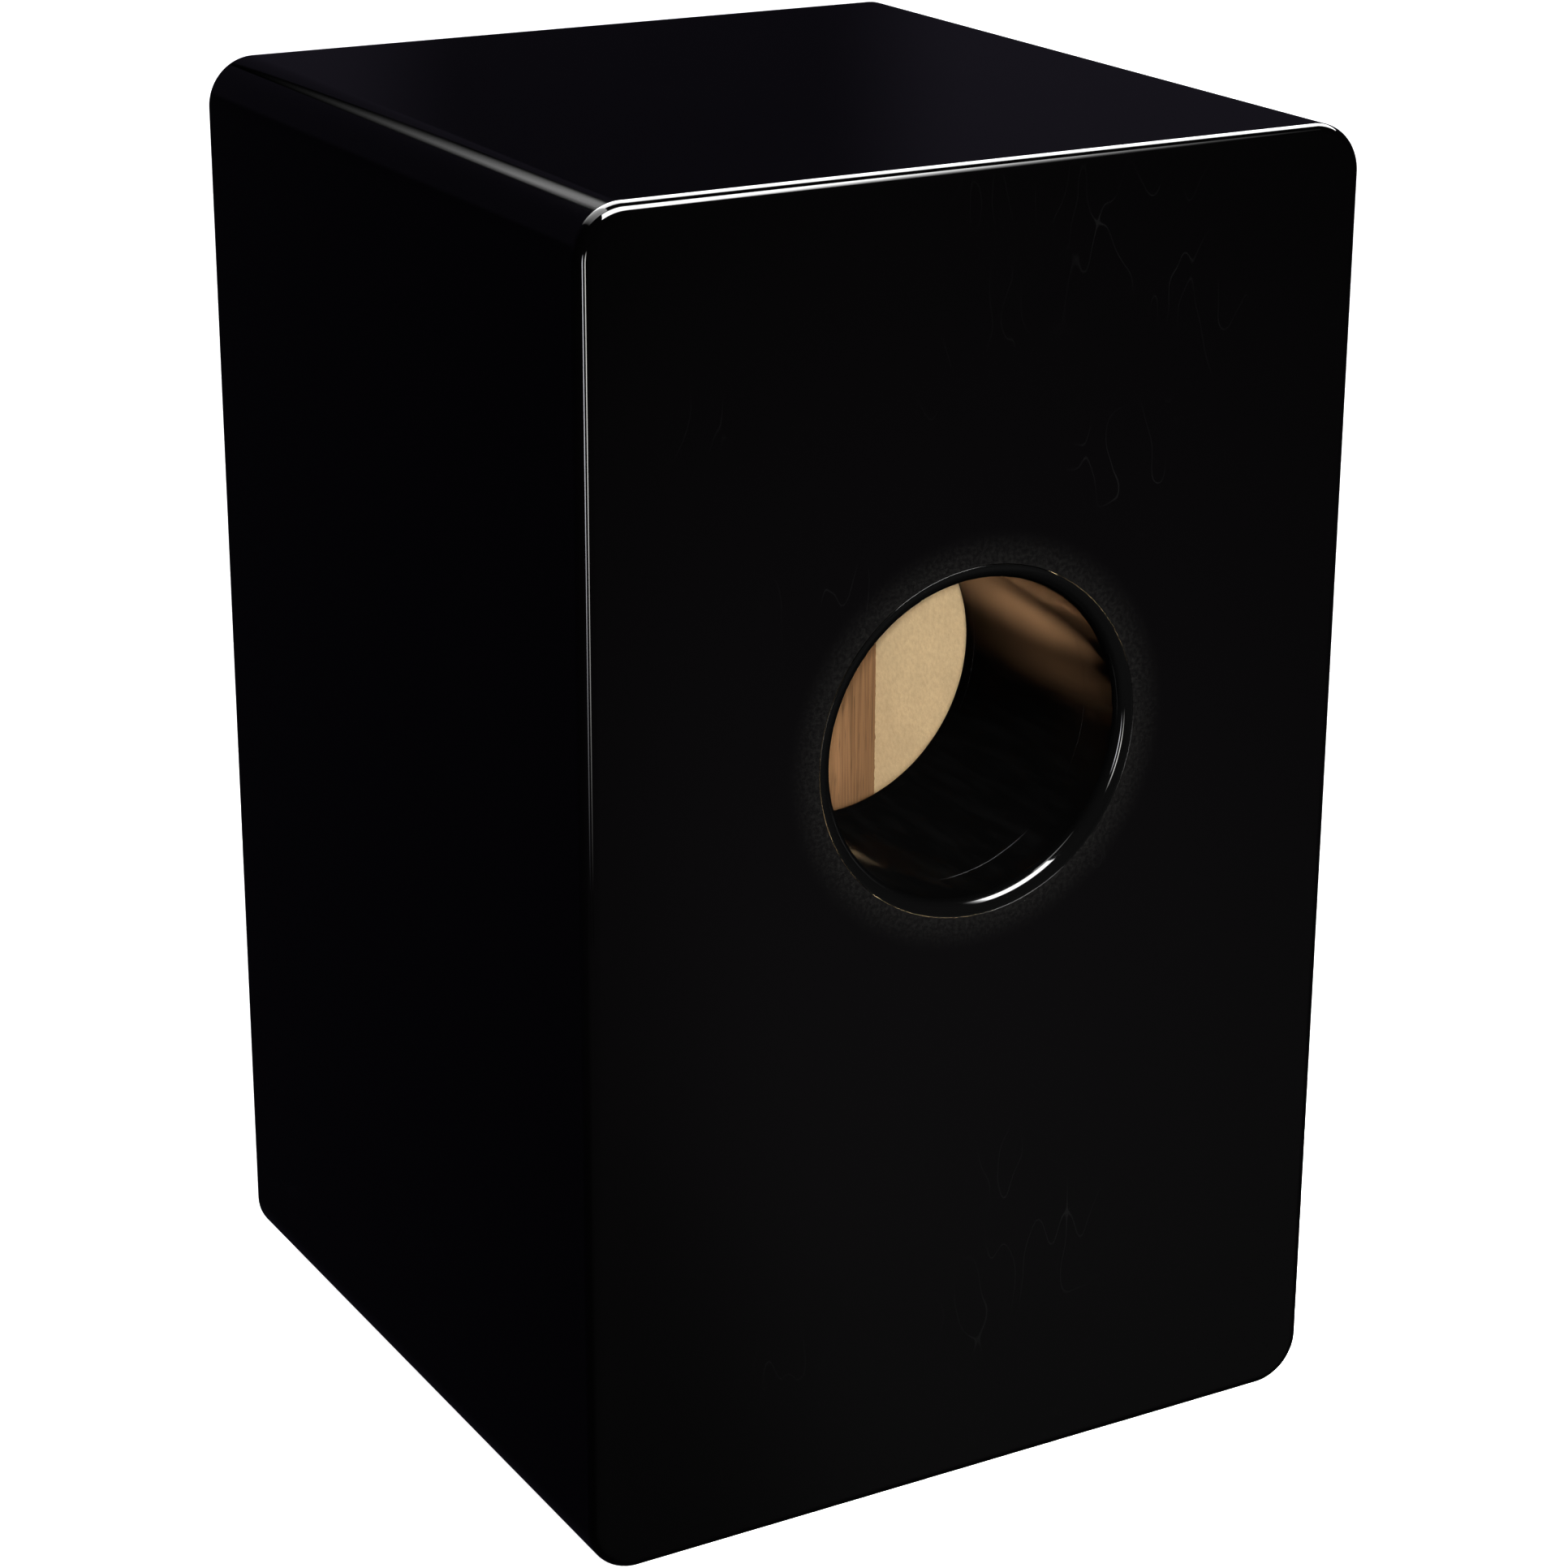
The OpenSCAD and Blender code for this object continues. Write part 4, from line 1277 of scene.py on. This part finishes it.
def wound_string(shape, x, y, bottom, top):
    """One wound string as a ribbed tube, with a twisted lock above the winding."""
    s = sizes()
    radius = (high("strings_left").y - low("strings_left").y) / 2
    valley, lock_r, lock_h = radius * 0.84, 0.56 * MM, 14 * MM
    ball = (high("string_balls").z - low("string_balls").z) / 2
    count = int((top - bottom) / s.winding * 2)
    sides = 9
    rows, ways = [], []
    for k in range(count + 1):
        z = bottom + (top - bottom) * k / count
        below_ball = top - ball - z
        thick = lock_r if 0 < below_ball < lock_h else radius
        r = thick if k % 2 else thick * valley / radius
        rows.append(shape.add([
            (x + r * math.cos(a), y + r * math.sin(a), z) for a in (TURN * i / sides for i in range(sides))]))
        ways.append([
            Vector((math.cos(a), math.sin(a), 0)) for a in (TURN * i / sides for i in range(sides))])
    for k in range(count):
        shape.strip(rows[k], rows[k + 1], [ways[k], ways[k + 1]])
    shape.face(rows[0], (0, 0, -1))
    shape.face(rows[-1], (0, 0, 1))


def strings():
    """Both pairs of wound strings. They run between the anchor plate and their carriage."""
    for side in SIDES:
        shape = Shape()
        for lowest, highest in solids(f"strings_{side}"):
            middle = (lowest + highest) / 2
            wound_string(shape, middle.x, middle.y, lowest.z, highest.z)
        name = f"strings_{side}"
        obj = shape.build(name, [string_steel()], exact=False)
        middle = centre_of(name)
        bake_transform(obj)
        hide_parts(name)


def string_carriages():
    """The blocks that draw the strings down, and the crimped ferrules under them."""
    for side in SIDES:
        node = f"string_carriage_{side}"
        lowest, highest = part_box(node)
        bolt = centre_of(f"tension_bolt_{side}")
        obj = from_bmesh(node, block(lowest, highest), zinc_steel())
        tall = highest.z - lowest.z
        axis = upright(bolt, lowest.z)
        bore, sink = BOLT_THREAD_HOLE, 0.5 * MM
        wide = bore + 2 * sink
        cutters = [rod(axis, bore, -MM, tall + MM, 48)]
        for end, under, over in ((0, wide, bore), (tall, bore, wide)):
            cutters.append(spun(
                axis, [(0, end - sink), (under, end - sink), (over, end + sink), (0, end + sink)], 48))
        for middle in middles(f"string_ferrules_{side}"):
            cutters.append(rod(upright(middle, lowest.z), STRING_HOLE, -MM, tall + MM, 20))
        combine(obj, cutters, "DIFFERENCE")
        soften(obj, 0.35 * MM, 3)
        settle(obj, f"carriage_{side}", "zinc_steel", node)

        name = f"string_ferrules_{side}"
        pieces = []
        for number, (a, b) in enumerate(solids(name)):
            middle = (a + b) / 2
            radius, tall_f = (b.x - a.x) / 2, b.z - a.z

            def crimp(r, h, angle, tall_f=tall_f, radius=radius):
                """Two pinched bands."""
                if r < radius * 0.7:
                    return 0
                band = max(0.0, math.sin(h / tall_f * 2 * TURN - TURN / 4)) ** 2
                return -0.16 * MM * band * (0.5 + 0.5 * math.cos(2 * angle))

            corners = [(0.5 * MM, 0, 0.1 * MM), (radius, 0, 0.25 * MM)]
            corners += [(radius, tall_f * k / 14, 0.02 * MM) for k in range(2, 13)]
            corners += [(radius, tall_f, 0.25 * MM), (0.5 * MM, tall_f, 0.1 * MM)]
            pieces.append(turned(f"{name}_{number}", upright(middle, a.z), corners, brass(), 48, 2, crimp))
        obj = join(name, pieces)
        settle(obj, f"carriage_{side}", "brass", name)


def join(name, pieces):
    """Joins several objects' meshes into one object."""
    mesh = bmesh.new()
    finish = pieces[0].data.materials[0]
    for piece in pieces:
        mesh.from_mesh(piece.data)
        data = piece.data
        bpy.data.objects.remove(piece)
        bpy.data.meshes.remove(data)
    return smooth(from_bmesh(name, mesh, finish))


# ---------- tension bolts ----------

def tension_bolts():
    """Socket-headed bolts with a knurled head and a cut thread, and their toothed clips."""
    s = sizes()
    for side in SIDES:
        node = f"tension_bolt_{side}"
        lowest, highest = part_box(node)
        middle = (lowest + highest) / 2
        axis = upright(middle, lowest.z)
        head_r, length = (highest.x - lowest.x) / 2, highest.z - lowest.z
        radius, head_h, edge = 2.5 * MM, 5 * MM, 0.35 * MM
        clip_top = high(f"bolt_clip_{side}").z - lowest.z
        thread_from = clip_top + 0.4 * MM
        rows = [(0, 0), (head_r - edge * 1.4, 0), (head_r - edge * 0.5, edge * 0.25), (head_r, edge)]
        rows += [(head_r, edge + (head_h - 2 * edge) * k / 6) for k in range(1, 7)]
        rows += [(head_r - edge * 0.4, head_h - edge * 0.3), (head_r - edge, head_h),
                 (radius + 0.3 * MM, head_h), (radius, head_h + 0.3 * MM), (radius, thread_from - 0.1 * MM)]
        rings = int((length - thread_from) / s.bolt_pitch * 10)
        rows += [(radius, thread_from + (length - thread_from) * k / rings) for k in range(rings)]
        rows += [(radius * 0.8, length), (0, length)]
        thread = threaded(radius, radius - 0.61 * s.bolt_pitch, s.bolt_pitch, thread_from, length)

        def bolt_radius(r, h, angle, thread=thread, head_r=head_r, head_h=head_h, edge=edge):
            """Knurled head, plain shank, then the thread."""
            ridges, knurl = 48, 0.11 * MM
            if r >= head_r * 0.999 and edge * 0.9 < h < head_h - edge * 0.9:
                return r - knurl * (0.5 + 0.5 * math.cos(ridges * angle))
            if thread_from <= h < length and r > 2.2 * MM:
                return thread(r, h, angle)
            return r

        obj = from_bmesh(node, spun(axis, rows, 192, bolt_radius), bolt_steel())
        key_r, key_h = 2.3 * MM, 2.8 * MM
        tip = [(0, -MM), (key_r, -MM), (key_r, key_h), (0, key_h + 0.9 * MM)]
        combine(obj, [spun(axis, tip, 6)], "DIFFERENCE")
        smooth(obj, 28)
        settle(obj, f"tension_bolt_{side}", "bolt_steel", node)

        name = f"bolt_clip_{side}"
        a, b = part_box(name)
        bore, rim, thick = BOLT_THREAD_HOLE, (b.x - a.x) / 2, b.z - a.z

        def teeth(r, h, angle, bore=bore, rim=rim):
            """Six spring teeth that reach in to the shank."""
            inward = max(0.0, 1 - (r - bore) / (0.35 * (rim - bore)))
            gap = 0.5 + 0.5 * math.tanh(6 * (math.cos(6 * angle) - 0.55))
            return 0.85 * MM * inward * gap

        band = 0.9 * MM
        obj = turned(name, upright(middle, a.z), [
            (bore, 0.45 * MM, 0.08 * MM), (bore + band, 0.18 * MM, 0.1 * MM), (rim - band, 0.0, 0.1 * MM),
            (rim, 0, 0.15 * MM), (rim, thick * 0.6, 0.15 * MM), (rim - band, thick * 0.55, 0.2 * MM),
            (bore + band, thick * 0.75, 0.2 * MM), (bore, thick, 0.08 * MM)], zinc_steel(), 144, 3, teeth)
        settle(obj, f"tension_bolt_{side}", "zinc_steel", name)


def bolt_seats():
    """Guide brackets with their screws, and the washers under the bolts' heads."""
    for side in SIDES:
        node = f"guide_bracket_{side}"
        lowest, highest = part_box(node)
        carriage_low, carriage_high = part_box(f"string_carriage_{side}")
        bolt = centre_of(f"tension_bolt_{side}")
        thick, gap, weld_r = 2 * MM, 0.3 * MM, 1.1 * MM
        base_top = lowest.z + thick
        obj = from_bmesh(node, block(lowest, (highest.x, highest.y, base_top)), zinc_steel())
        parts = []
        for x, out in ((carriage_low.x - gap, -1), (carriage_high.x + gap, 1)):
            foot = x + out * thick
            ends = sorted((x, foot))
            rounding, toe = 3 * MM, 0.2 * MM
            outline = fillet([
                (lowest.y, lowest.z, 0.01 * MM), (lowest.y, highest.z, rounding),
                (highest.y, highest.z, rounding), (highest.y, lowest.z, 0.01 * MM)], 6)
            flat = [tuple(point) for arc in outline for point, _ in arc]
            parts.append(prism(flat, ends[0], ends[1], lambda y, z, x: (x, y, z)))
            bead = [(foot - out * toe, base_top - toe), (foot + out * weld_r, base_top - toe),
                    (foot + out * weld_r, base_top), (foot + out * 0.35 * weld_r, base_top + 0.35 * weld_r),
                    (foot, base_top + weld_r), (foot - out * toe, base_top + weld_r)]
            parts.append(prism(bead, lowest.y + MM, highest.y - MM, lambda x, z, y: (x, y, z)))
        combine(obj, parts, "UNION")
        cutters = [rod(upright(bolt, lowest.z), BOLT_CLEAR_HOLE, -MM, thick + MM, 40)]
        for middle in middles("bracket_screws"):
            if lowest.x < middle.x < highest.x:
                cutters.append(rod(upright(middle, lowest.z), SCREW_HOLE, -MM, thick + MM, 32))
        combine(obj, cutters, "DIFFERENCE")
        soften(obj, 0.2 * MM, 2)
        settle(obj, "cabinet", "zinc_steel", node)

    low_end, high_end = solids("bracket_screws")[0]
    down = Axis((0, 0, 0), (0, 0, -1))
    piece = slotted_screw(down, high_end.z - low_end.z, 1.2 * MM)
    points = [Vector((m.x, m.y, high_end.z)) for m in middles("bracket_screws")]
    screws = spread("bracket_screws", piece, points, UP, zinc_steel(), math.pi)
    settle(screws, "cabinet", "zinc_steel", "bracket_screws")

    washers("bolt_washers", BOLT_CLEAR_HOLE)


# ---------- feet ----------

def feet():
    """Four moulded feet with a ringed sole, each with its washer and screw."""
    low_end, _ = solids("foot_washers")[0]
    well, bore = low_end.z + 0.8 * MM, 2.15 * MM
    for place in ("front_left", "front_right", "rear_left", "rear_right"):
        node = f"foot_{place}"
        lowest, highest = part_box(node)
        middle = (lowest + highest) / 2
        axis = Axis((middle.x, middle.y, 0), (0, 0, 1))
        radius, tall, taper, well_r = (highest.x - lowest.x) / 2, highest.z, 2 * MM, 5 * MM
        sole = [(well_r, 0, 0.4 * MM)]
        for ring in (7.2 * MM, 9.8 * MM):
            sole += [(ring - 0.5 * MM, 0, 0.12 * MM), (ring - 0.35 * MM, 0.7 * MM, 0.15 * MM),
                     (ring + 0.35 * MM, 0.7 * MM, 0.15 * MM), (ring + 0.5 * MM, 0, 0.12 * MM)]
        corners = sole + [
            (radius - taper, 0, 0.9 * MM), (radius - 0.35 * taper, tall * 0.62, 0.3 * MM),
            (radius - 0.6 * taper, tall * 0.68, 0.2 * MM), (radius - 0.45 * taper, tall * 0.74, 0.2 * MM),
            (radius, tall * 0.8, 0.4 * MM), (radius, tall, 0.3 * MM), (bore, tall, 0.15 * MM),
            (bore, well, 0.15 * MM), (well_r - 0.2 * MM, well, 0.3 * MM)]
        obj = turned(node, axis, corners, rubber(), 128, 5)
        settle(obj, "cabinet", "foot_rubber", node)

    washers("foot_washers", bore)

    lowest, highest = solids("foot_screws")[0]
    piece = pan_head_screw(Axis((0, 0, 0), UP), highest.z - lowest.z, 1.7 * MM)
    points = [Vector((m.x, m.y, lowest.z)) for m in middles("foot_screws")]
    screws = spread("foot_screws", piece, points, UP, zinc_steel())
    settle(screws, "cabinet", "zinc_steel", "foot_screws")


# ---------- stage ----------

def away_at(azimuth, elevation):
    """Direction away from the cabinet. Azimuth 0 is in front of the tapa."""
    flat = math.cos(elevation)
    return Vector((math.sin(azimuth) * flat, -math.cos(azimuth) * flat, math.sin(elevation)))


def place_camera():
    """Sets the camera off the middle of the cabinet, with its small step, roll and shift."""
    s = stage_settings()
    away = away_at(s.azimuth, s.elevation)
    right = (-away).cross(Vector((0, 0, 1))).normalized()
    upward = right.cross(-away)
    turn = Matrix.Rotation(-s.roll, 3, -away)
    right, upward = turn @ right, turn @ upward
    middle = Vector((0, 0, (Z_LOW + Z_HIGH) / 2))
    data = bpy.data.cameras.new("camera")
    data.lens, data.sensor_width, data.shift_y = s.lens, 36, s.rise
    data.clip_start, data.clip_end = 0.05, 50
    camera = bpy.data.objects.new("camera", data)
    bpy.context.scene.collection.objects.link(camera)
    axes = Matrix((right, upward, away)).transposed().to_4x4()
    camera.matrix_world = Matrix.Translation(
        middle + away * s.distance + right * s.aside + upward * s.up) @ axes
    bpy.context.scene.camera = camera


def glow(name, colour, strength, *fades):
    """A lamp cloth's light. Each fade is (axis, dark end, bright end, power)."""
    material = bpy.data.materials.new(name)
    material.use_nodes = True
    tree = material.node_tree
    tree.nodes.clear()
    parts = add(tree, "ShaderNodeSeparateXYZ", {"Vector": add(tree, "ShaderNodeTexCoord").outputs["Object"]})
    level = strength
    for axis, dark, bright, power in fades:
        ramp = add(tree, "ShaderNodeMapRange", {
            "Value": parts.outputs[axis], "From Min": dark, "From Max": bright}, clamp=True)
        curve = add(tree, "ShaderNodeMath", {0: ramp.outputs["Result"], 1: power}, operation="POWER")
        level = add(tree, "ShaderNodeMath", {0: curve.outputs[0], 1: level}, operation="MULTIPLY").outputs[0]
    light = add(tree, "ShaderNodeEmission", {"Color": (*colour, 1), "Strength": level})
    add(tree, "ShaderNodeOutputMaterial", {"Surface": light.outputs["Emission"]})
    return material


def softbox(name, corners, material):
    """A flat four-cornered light that the camera doesn't see."""
    mesh = bpy.data.meshes.new(name)
    mesh.from_pydata(corners, [], [(0, 1, 2, 3)])
    mesh.materials.append(material)
    obj = link(name, mesh)
    obj.visible_camera = False
    obj.visible_diffuse = False
    obj.visible_shadow = False
    return obj


def rectangle(left, right, front, back, height):
    """Corners of a level rectangle."""
    return [(left, front, height), (right, front, height), (right, back, height), (left, back, height)]


def strip_light(name, bearing, width, distance, bottom, top, material):
    """An upright strip at a bearing from +Y towards +X, turned to face the cabinet."""
    way = Vector((math.sin(bearing), math.cos(bearing), 0))
    across = Vector((way.y, -way.x, 0)) * width / 2
    middle = Vector((X_OUT, Y_REAR, 0)) + way * distance
    corners = [middle - across, middle + across]
    points = [(p.x, p.y, bottom) for p in corners] + [(p.x, p.y, top) for p in reversed(corners)]
    return softbox(name, points, material)


def studio_world():
    """White backdrop for the camera, and a dim room with a faint violet cast for everything else."""
    world = bpy.data.worlds.new("studio")
    bpy.context.scene.world = world
    world.use_nodes = True
    tree = world.node_tree
    tree.nodes.clear()
    way = add(tree, "ShaderNodeSeparateXYZ", {
        "Vector": add(tree, "ShaderNodeTexCoord").outputs["Generated"]}).outputs

    ramp = partial(smooth_step, tree)
    maths = partial(calculate, tree)
    # Dim ground that brightens towards the feet of the room on the rear side
    behind = maths("MULTIPLY", ramp(way["Y"], 0.2, 0.75, 0.0, 1.0), ramp(way["Z"], -0.22, -0.5, 0.012, 0.06))
    behind = maths("MULTIPLY", behind, ramp(way["X"], -0.40, -0.46, 0.45, 1.0))
    # Two dim cards beyond the tapa, with a dark gap between them
    bearing = maths("DIVIDE", way["X"], maths("MINIMUM", way["Y"], -0.05))
    cards = maths("ADD", ramp(bearing, 0.47, 0.42, 0.0, 1.0), ramp(bearing, 0.58, 0.64, 0.0, 1.0))
    level = maths("MULTIPLY", ramp(way["Z"], 0.02, 0.12, 0.0, 1.0), ramp(way["Y"], -0.3, -0.6, 0.0, 1.0))
    violet = maths("MULTIPLY", maths("MULTIPLY", cards, level), 0.012)
    room = maths("ADD", maths("ADD", behind, violet), 0.008)
    tint = add(tree, "ShaderNodeMix", data_type="RGBA")
    tree.links.new(ramp(way["Y"], 0.0, -0.5, 0.0, 1.0), tint.inputs[0])
    tint.inputs[6].default_value = (1.0, 1.0, 1.0, 1)
    tint.inputs[7].default_value = (0.95, 0.84, 1.25, 1)
    path = add(tree, "ShaderNodeLightPath").outputs

    def sky(colour, strength):
        return add(tree, "ShaderNodeBackground", {"Color": colour, "Strength": strength}).outputs[0]

    def choose(ray, others, these):
        return add(tree, "ShaderNodeMixShader", {0: path[ray], 1: others, 2: these}).outputs[0]

    near = choose("Is Diffuse Ray", sky(tint.outputs[2], room), sky((0.9, 0.92, 1.0, 1), 0.35))
    seen = choose("Is Camera Ray", near, sky((1, 1, 1, 1), 1.0))
    add(tree, "ShaderNodeOutputWorld", {"Surface": seen})


def studio_floor():
    """Pale floor, lit from beneath like a light table, so that it stays even."""
    f = Finish("pale_floor")
    s = stage_settings()
    cloud = f.noise(1.3, 3, 0.5)
    colour = f.mix(f.between(cloud, 0.3, 0.7, 0.0, 1.0), tuple(s.floor), darker(tuple(s.floor), 0.985))
    material = f.done(colour, 0.85, None, specular_ior_level=0.1)
    f.shader.inputs["Emission Color"].default_value = (1, 1, 1, 1)
    f.shader.inputs["Emission Strength"].default_value = 1.0
    # Clear from beneath, so that the underside can be looked at
    clear = add(f.tree, "ShaderNodeBsdfTransparent").outputs[0]
    back = add(f.tree, "ShaderNodeNewGeometry").outputs["Backfacing"]
    seen = add(f.tree, "ShaderNodeMixShader", {0: back, 1: f.shader.outputs[0], 2: clear}).outputs[0]
    f.tree.links.new(seen, f.output.inputs["Surface"])
    mesh = bmesh.new()
    bmesh.ops.create_circle(mesh, cap_ends=True, segments=96, radius=6)
    floor = from_bmesh("floor", mesh, material)
    floor.visible_glossy = False


def port_lamp(name, power, size, reach, place):
    """A spotlight on the port, reach wide there, that shows in no polished surface."""
    away = Vector(place) - PORT_MIDDLE
    data = bpy.data.lights.new(name, "SPOT")
    data.energy, data.shadow_soft_size = power, size
    data.spot_size, data.spot_blend = 2 * math.atan(reach / away.length), 0.25
    lamp = bpy.data.objects.new(name, data)
    bpy.context.scene.collection.objects.link(lamp)
    lamp.location = place
    lamp.rotation_mode = "QUATERNION"
    lamp.rotation_quaternion = away.to_track_quat("Z", "Y")
    lamp.visible_glossy = False
    lamp.visible_camera = False


def overhead_lights(strength):
    """Four softboxes under the ceiling, which draw the highlights along the lacquer's upper edges."""
    ceiling = 2.0
    for name, share, corners, fades in (
            ("far", 0.5, (-3.2, 0.2, -2.4, -0.35), ()),
            ("near", 1.0, (-1.45, 0.5, 0.52, 1.6), (("X", -1.45, -0.88, 3.5),)),
            ("edge", 0.0423, (-1.0, 0.1, -3.65, -2.45), (
                ("Y", -3.65, -2.8, 2.5), ("Y", -2.45, -2.65, 1.0), ("X", 0.1, -0.2, 1.0),
                ("X", -1.0, -0.7, 1.0))),
            ("side", 0.2308, (0.2, 1.4, -2.4, 0.4), (("X", 1.4, 0.2, 1.0),))):
        cloth = glow(f"overhead_{name}_cloth", (1, 1, 1), strength * share, *fades)
        softbox(f"overhead_{name}", rectangle(*corners, ceiling), cloth)


def stage():
    """Camera, floor, room and lights."""
    s = stage_settings()
    place_camera()
    studio_floor()
    studio_world()
    overhead_lights(s.overhead)
    for name, bearing, width, colour in (
            ("cool", 41, 0.12, (0.94, 0.94, 1.0)), ("warm", 21, 0.13, (1.0, 0.985, 0.955))):
        cloth = glow(f"strip_cloth_{name}", colour, s.strips, ("Z", -0.26, 0.05, 1.5), ("Z", 0.49, 0.3, 1.0))
        strip_light(f"strip_{name}", math.radians(bearing), width, 1.3, -0.3, 0.49, cloth)
    port_lamp("port_lamp_low", s.inside, 0.012, 0.2, bpy.context.scene.camera.location)
    # Three beams that fall through the port onto the tapa's inner face
    for name, share, azimuth, elevation in (
            ("middle", 1.0, 179, 33), ("left", 0.23, 164, 27), ("right", 0.28, 200, 27)):
        away = away_at(math.radians(azimuth), math.radians(elevation))
        port_lamp(f"port_beam_{name}", s.beam * share, 0.2, 0.14, PORT_MIDDLE + away * 1.7)
    bpy.context.scene.view_settings.view_transform = "Standard"


# ---------- operators ----------

class CAJON_OT_stage(bpy.types.Operator):
    """Set up the camera, the pale floor and the soft studio light"""

    bl_idname = "cajon.stage"
    bl_label = "Stage"

    def execute(self, context):
        stage()
        return {"FINISHED"}


class CAJON_OT_shell(bpy.types.Operator):
    """Build the four mitred boards of the lacquered shell"""

    bl_idname = "cajon.shell"
    bl_label = "Shell"

    def execute(self, context):
        under, within = bottom_bores()
        mitred_board("side_panel_right", 0, 1)
        mitred_board("bottom_panel", 1, 2, under, within)
        mitred_board("side_panel_left", 2, 3)
        mitred_board("top_panel", 3, 0)
        return {"FINISHED"}


class CAJON_OT_rear_board(bpy.types.Operator):
    """Build the rear board with its round-over and the port's seat"""

    bl_idname = "cajon.rear_board"
    bl_label = "Rear board"

    def execute(self, context):
        rear_board()
        return {"FINISHED"}


class CAJON_OT_tapa(bpy.types.Operator):
    """Build the tapa and set its countersunk screws"""

    bl_idname = "cajon.tapa"
    bl_label = "Tapa and screws"

    def execute(self, context):
        tapa()
        tapa_screws()
        return {"FINISHED"}


class CAJON_OT_battens(bpy.types.Operator):
    """Build the corner battens and the batten that the strings hang from"""

    bl_idname = "cajon.battens"
    bl_label = "Battens"

    def execute(self, context):
        for side in SIDES:
            for level in ("top", "bottom"):
                corner_batten(side, level)
        string_batten()
        return {"FINISHED"}


class CAJON_OT_port(bpy.types.Operator):
    """Turn the port's flange, sleeve, tube and flared mouth"""

    bl_idname = "cajon.port"
    bl_label = "Port"

    def execute(self, context):
        port()
        return {"FINISHED"}


class CAJON_OT_anchor(bpy.types.Operator):
    """Build the anchor plate, its screws and the strings' ball ends"""

    bl_idname = "cajon.anchor"
    bl_label = "String anchor"

    def execute(self, context):
        anchor_set()
        return {"FINISHED"}


class CAJON_OT_strings(bpy.types.Operator):
    """Wind the two pairs of strings"""

    bl_idname = "cajon.strings"
    bl_label = "Strings"

    def execute(self, context):
        strings()
        return {"FINISHED"}


class CAJON_OT_carriages(bpy.types.Operator):
    """Build the string carriages and their crimped ferrules"""

    bl_idname = "cajon.carriages"
    bl_label = "String carriages"

    def execute(self, context):
        string_carriages()
        return {"FINISHED"}


class CAJON_OT_bolts(bpy.types.Operator):
    """Build the tension bolts, clips, guide brackets and washers"""

    bl_idname = "cajon.bolts"
    bl_label = "Tension bolts"

    def execute(self, context):
        tension_bolts()
        bolt_seats()
        return {"FINISHED"}


class CAJON_OT_feet(bpy.types.Operator):
    """Build the rubber feet with their washers and screws"""

    bl_idname = "cajon.feet"
    bl_label = "Feet"

    def execute(self, context):
        feet()
        return {"FINISHED"}


OPERATORS = (
    CAJON_OT_stage, CAJON_OT_shell, CAJON_OT_rear_board, CAJON_OT_tapa, CAJON_OT_battens, CAJON_OT_port,
    CAJON_OT_anchor, CAJON_OT_strings, CAJON_OT_carriages, CAJON_OT_bolts, CAJON_OT_feet,
)


class CAJON_PT_panel(bpy.types.Panel):
    """Lists the cajon's operators and settings"""

    bl_idname = "CAJON_PT_panel"
    bl_label = "Cajon"
    bl_space_type = "VIEW_3D"
    bl_region_type = "UI"
    bl_category = "Cajon"

    def draw(self, context):
        column = self.layout.column(align=True)
        for operator in OPERATORS:
            column.operator(operator.bl_idname)
        for group in (sizes(), colours(), stage_settings()):
            box = self.layout.box()
            for name in group.__annotations__:
                box.prop(group, name)


CLASSES = (CajonSizes, CajonColours, CajonStage, *OPERATORS, CAJON_PT_panel)


def register():
    for each in CLASSES:
        bpy.utils.register_class(each)
    bpy.types.Scene.cajon_sizes = PointerProperty(type=CajonSizes)
    bpy.types.Scene.cajon_colours = PointerProperty(type=CajonColours)
    bpy.types.Scene.cajon_stage = PointerProperty(type=CajonStage)


def unregister():
    for name in ("cajon_sizes", "cajon_colours", "cajon_stage"):
        delattr(bpy.types.Scene, name)
    for each in reversed(CLASSES):
        bpy.utils.unregister_class(each)


def main():
    """Registers the add-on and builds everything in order."""
    register()
    for operator in OPERATORS:
        group, name = operator.bl_idname.split(".")
        getattr(getattr(bpy.ops, group), name)()


if __name__ == "__main__":
    main()
